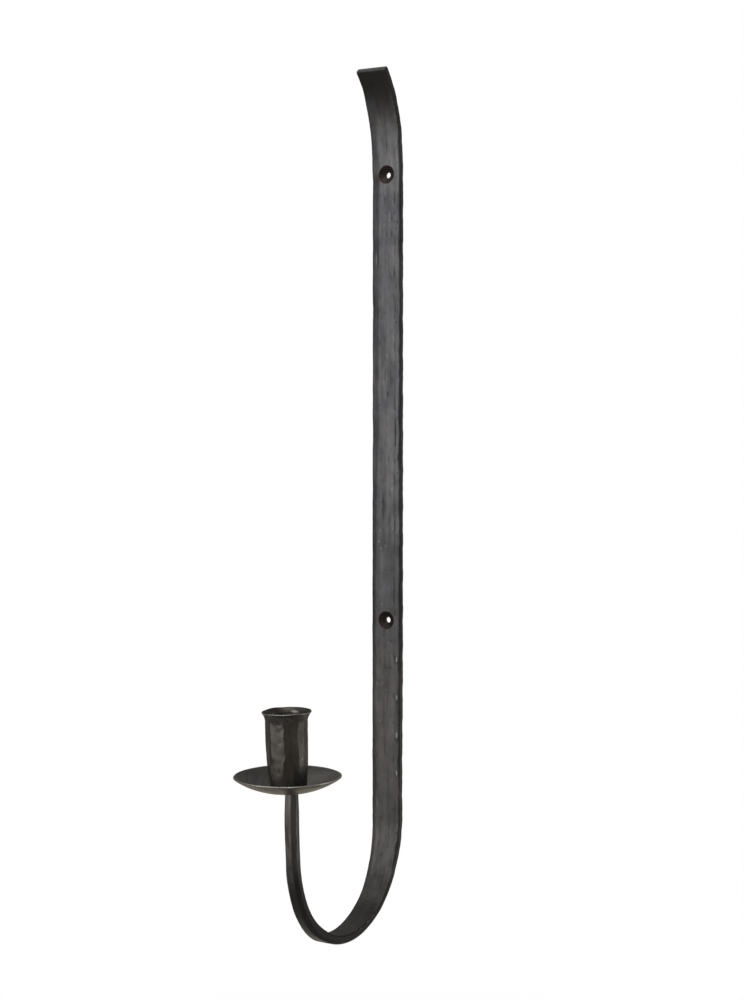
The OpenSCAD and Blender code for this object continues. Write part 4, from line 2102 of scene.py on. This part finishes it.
@dataclass
class Studio:
    """The camera, the pale floor, the white room and the lights.

    Attributes:
        azimuth: of the camera, in degrees from the front to the right.
        elevation: of the camera, in degrees.
        focal_px: the focal length in the photograph's pixels.
        depth: the distance to the origin along the camera's axis, in millimetres.
        origin_px: where the origin is in the photograph.
        frame_px: the photograph's width and height.
        sensor: the camera's sensor, in millimetres.
        floor_z: the height of the floor, in metres.
        floor_r: the radius of the floor, in metres.
        chalk: the colour of the floor.
        paper: the colour that the camera sees in it, over paper_share of it.
        aisle: the direction of the paler strip in the room's reflections.
        low_wall: the room's colour below in reflections, and high_wall above.
        strip: the colour of the paler strip.
        lights: the lights.
    """

    azimuth: float = VIEW_AZIMUTH
    elevation: float = 1.414
    focal_px: float = 1512.7
    depth: float = 935.0
    origin_px: tuple[float, float] = (389.55, 398.49)
    frame_px: tuple[float, float] = (744.0, 1000.0)
    sensor: float = 36.0
    floor_z: float = -0.78
    floor_r: float = 1.25
    chalk: Colour = (0.60, 0.595, 0.58, 1.0)
    paper: Colour = (0.9, 0.9, 0.895, 1.0)
    paper_share: float = 0.75
    aisle: tuple[float, float, float] = (0.53, 0.848, 0.0)
    low_wall: Colour = (0.20, 0.185, 0.165, 1.0)
    high_wall: Colour = (0.26, 0.26, 0.26, 1.0)
    strip: Colour = (0.36, 0.345, 0.32, 1.0)
    lights: tuple[Softbox, ...] = (
        Softbox("key_softbox", -20.0, 0.2, 1.6, 1.25, 1.85, 1.18, (0.97, 0.985, 1.0)),
        Softbox("rim_strip", 120.0, 0.0, 1.3, 0.4, 1.5, 1.3, (1.0, 0.97, 0.94)),
        Softbox("bounce_card", 205.0, -0.62, 0.5, 0.9, 0.5, 0.23, (1.0, 0.84, 0.52), 140.0),
        Softbox("top_softbox", 14.0, 1.3, 0.68, 1.1, 0.7, 4.2),
        Softbox("back_softbox", -130.0, 0.75, 1.1, 0.6, 0.6, 0.55, (1.0, 0.98, 0.95)),
        Softbox("side_softbox", -70.0, 0.75, 0.9, 0.3, 0.3, 3.6),
    )

    def camera(self) -> None:
        """Adds the camera where the photograph was taken from."""
        turn, tilt = math.radians(self.azimuth), math.radians(self.elevation)
        back = Vector(
            (math.sin(turn) * math.cos(tilt), -math.cos(turn) * math.cos(tilt), math.sin(tilt))
        )
        right = Vector((math.cos(turn), math.sin(turn), 0.0))
        up = back.cross(right)
        off_x = (self.origin_px[0] - self.frame_px[0] / 2) / self.focal_px
        off_y = (self.frame_px[1] / 2 - self.origin_px[1]) / self.focal_px
        data = bpy.data.cameras.new("camera")
        data.sensor_width = self.sensor
        data.lens = self.focal_px / max(self.frame_px) * self.sensor
        data.clip_start = 0.01
        camera = bpy.data.objects.new("camera", data)
        camera.location = (back - right * off_x - up * off_y) * self.depth * MM
        camera.rotation_mode = "QUATERNION"
        camera.rotation_quaternion = (-back).to_track_quat("-Z", "Y")
        bpy.context.scene.collection.objects.link(camera)
        bpy.context.scene.camera = camera

    def floor(self) -> None:
        """Adds a round pale floor, which fades into the white room at its edge."""
        bpy.ops.mesh.primitive_circle_add(
            vertices=128, radius=self.floor_r, fill_type="NGON", location=(0, 0, self.floor_z)
        )
        floor = bpy.context.object
        floor.name = "floor"
        material, graph = blank_material("floor")
        place = graph.add("ShaderNodeTexCoord", None, None, "Object")
        reach = graph.add("ShaderNodeVectorMath", {"operation": "LENGTH"}, {0: place}, "Value")
        fade = reach.smooth(0.45 * self.floor_r, 0.98 * self.floor_r)
        seen = graph.add("ShaderNodeLightPath", None, None, "Is Camera Ray")
        chalk = graph.add("ShaderNodeBsdfDiffuse", None, {"Color": self.chalk})
        paper = graph.add("ShaderNodeEmission", None, {"Color": self.paper})
        shares = {0: seen * self.paper_share, 1: chalk, 2: paper}
        lit = graph.add("ShaderNodeMixShader", None, shares)
        clear = graph.add("ShaderNodeBsdfTransparent")
        skin = graph.add("ShaderNodeMixShader", None, {0: fade, 1: lit, 2: clear})
        graph.add("ShaderNodeOutputMaterial", None, {"Surface": skin})
        floor.data.materials.append(material)

    def room(self) -> None:
        """Makes the room white to look at and dim in reflections."""
        world = bpy.data.worlds.new("room")
        world.use_nodes = True
        bpy.context.scene.world = world
        graph = Graph(world.node_tree)
        direction = graph.add("ShaderNodeTexCoord", None, None, "Generated")
        height = graph.parts(direction)[2]
        aisle = {0: direction, 1: self.aisle}
        behind = graph.add("ShaderNodeVectorMath", {"operation": "DOT_PRODUCT"}, aisle, "Value")
        front = graph.mix(height.smooth(-0.4, 0.9), self.low_wall, self.high_wall)
        shade = graph.mix(behind.smooth(0.62, 1.0), front, self.strip)
        dim = graph.add("ShaderNodeBackground", None, {"Color": shade, "Strength": 1.0})
        white = graph.add("ShaderNodeBackground", None, {"Color": (1, 1, 1, 1), "Strength": 1.0})
        seen = graph.add("ShaderNodeLightPath", None, None, "Is Camera Ray")
        both = graph.add("ShaderNodeMixShader", None, {0: seen, 1: dim, 2: white})
        graph.add("ShaderNodeOutputWorld", None, {"Surface": both})

    def build(self) -> None:
        """Sets up the whole studio."""
        scene = bpy.context.scene
        scene.view_settings.view_transform = "Standard"
        scene.view_settings.look = "None"
        self.camera()
        self.floor()
        self.room()
        for light in self.lights:
            light.build()


def clear_scene() -> None:
    """Removes what Blender starts with."""
    for thing in list(bpy.data.objects):
        bpy.data.objects.remove(thing)


def main() -> None:
    """Builds the dressed candle holder in its studio."""
    logging.basicConfig(level=logging.INFO, format="%(name)s: %(message)s")
    clear_scene()
    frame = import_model()
    record = frame["record"]
    Studio().build()
    forged = BlackenedIron(
        Slot.FORGED_IRON,
        scale=(0.040, 0.038, 0.037, 1.0),
        worn=(0.185, 0.180, 0.180, 1.0),
        tint=(0.150, 0.153, 0.170, 1.0),
        edge=(0.30, 0.295, 0.285, 1.0),
        roughness=0.42,
        wear=0.60,
        streaks=0.85,
        # Forge scale on the strap's sides, and painted shade over the curl, the bend and the arm's
        # right side.
        scale_and_shade=ForgeScaleAndShade(),
        # Painted highlights on the vice lumps.
        burnish_and_highlight=ViceMarkHighlights(),
        grime=HoleGrime(),
        # Painted shade: the worn colour darkens down the strap and warms near its foot.
        tones=(
            Tone((0.118, 0.116, 0.122, 1.0), (-45.0, -115.0)),
            Tone((0.148, 0.139, 0.135, 1.0), (-135.0, -170.0)),
        ),
    ).build()
    sheet = BlackenedIron(
        Slot.SHEET_IRON,
        scale=(0.055, 0.050, 0.044, 1.0),
        worn=(0.188, 0.178, 0.164, 1.0),
        tint=(0.150, 0.139, 0.120, 1.0),
        edge=(0.50, 0.48, 0.45, 1.0),
        roughness=0.40,
        wear=0.48,
        streaks=0.6,
        # Painted shade inside the socket's mouth.
        scale_and_shade=SocketMouthShade(),
        # A painted highlight inside the socket's lip.
        burnish_and_highlight=LipRubHighlight(),
    ).build()
    steel = TurnedSteel(Slot.SCREW_STEEL, (0.42, 0.42, 0.43, 1.0), 0.35).build()
    ForgedHook(record).build(forged)
    DripPan().build(sheet)
    CandleSocket(record).build(sheet)
    SocketFloor().build(sheet)
    FixingScrew().build(steel)


if __name__ == "__main__":
    main()
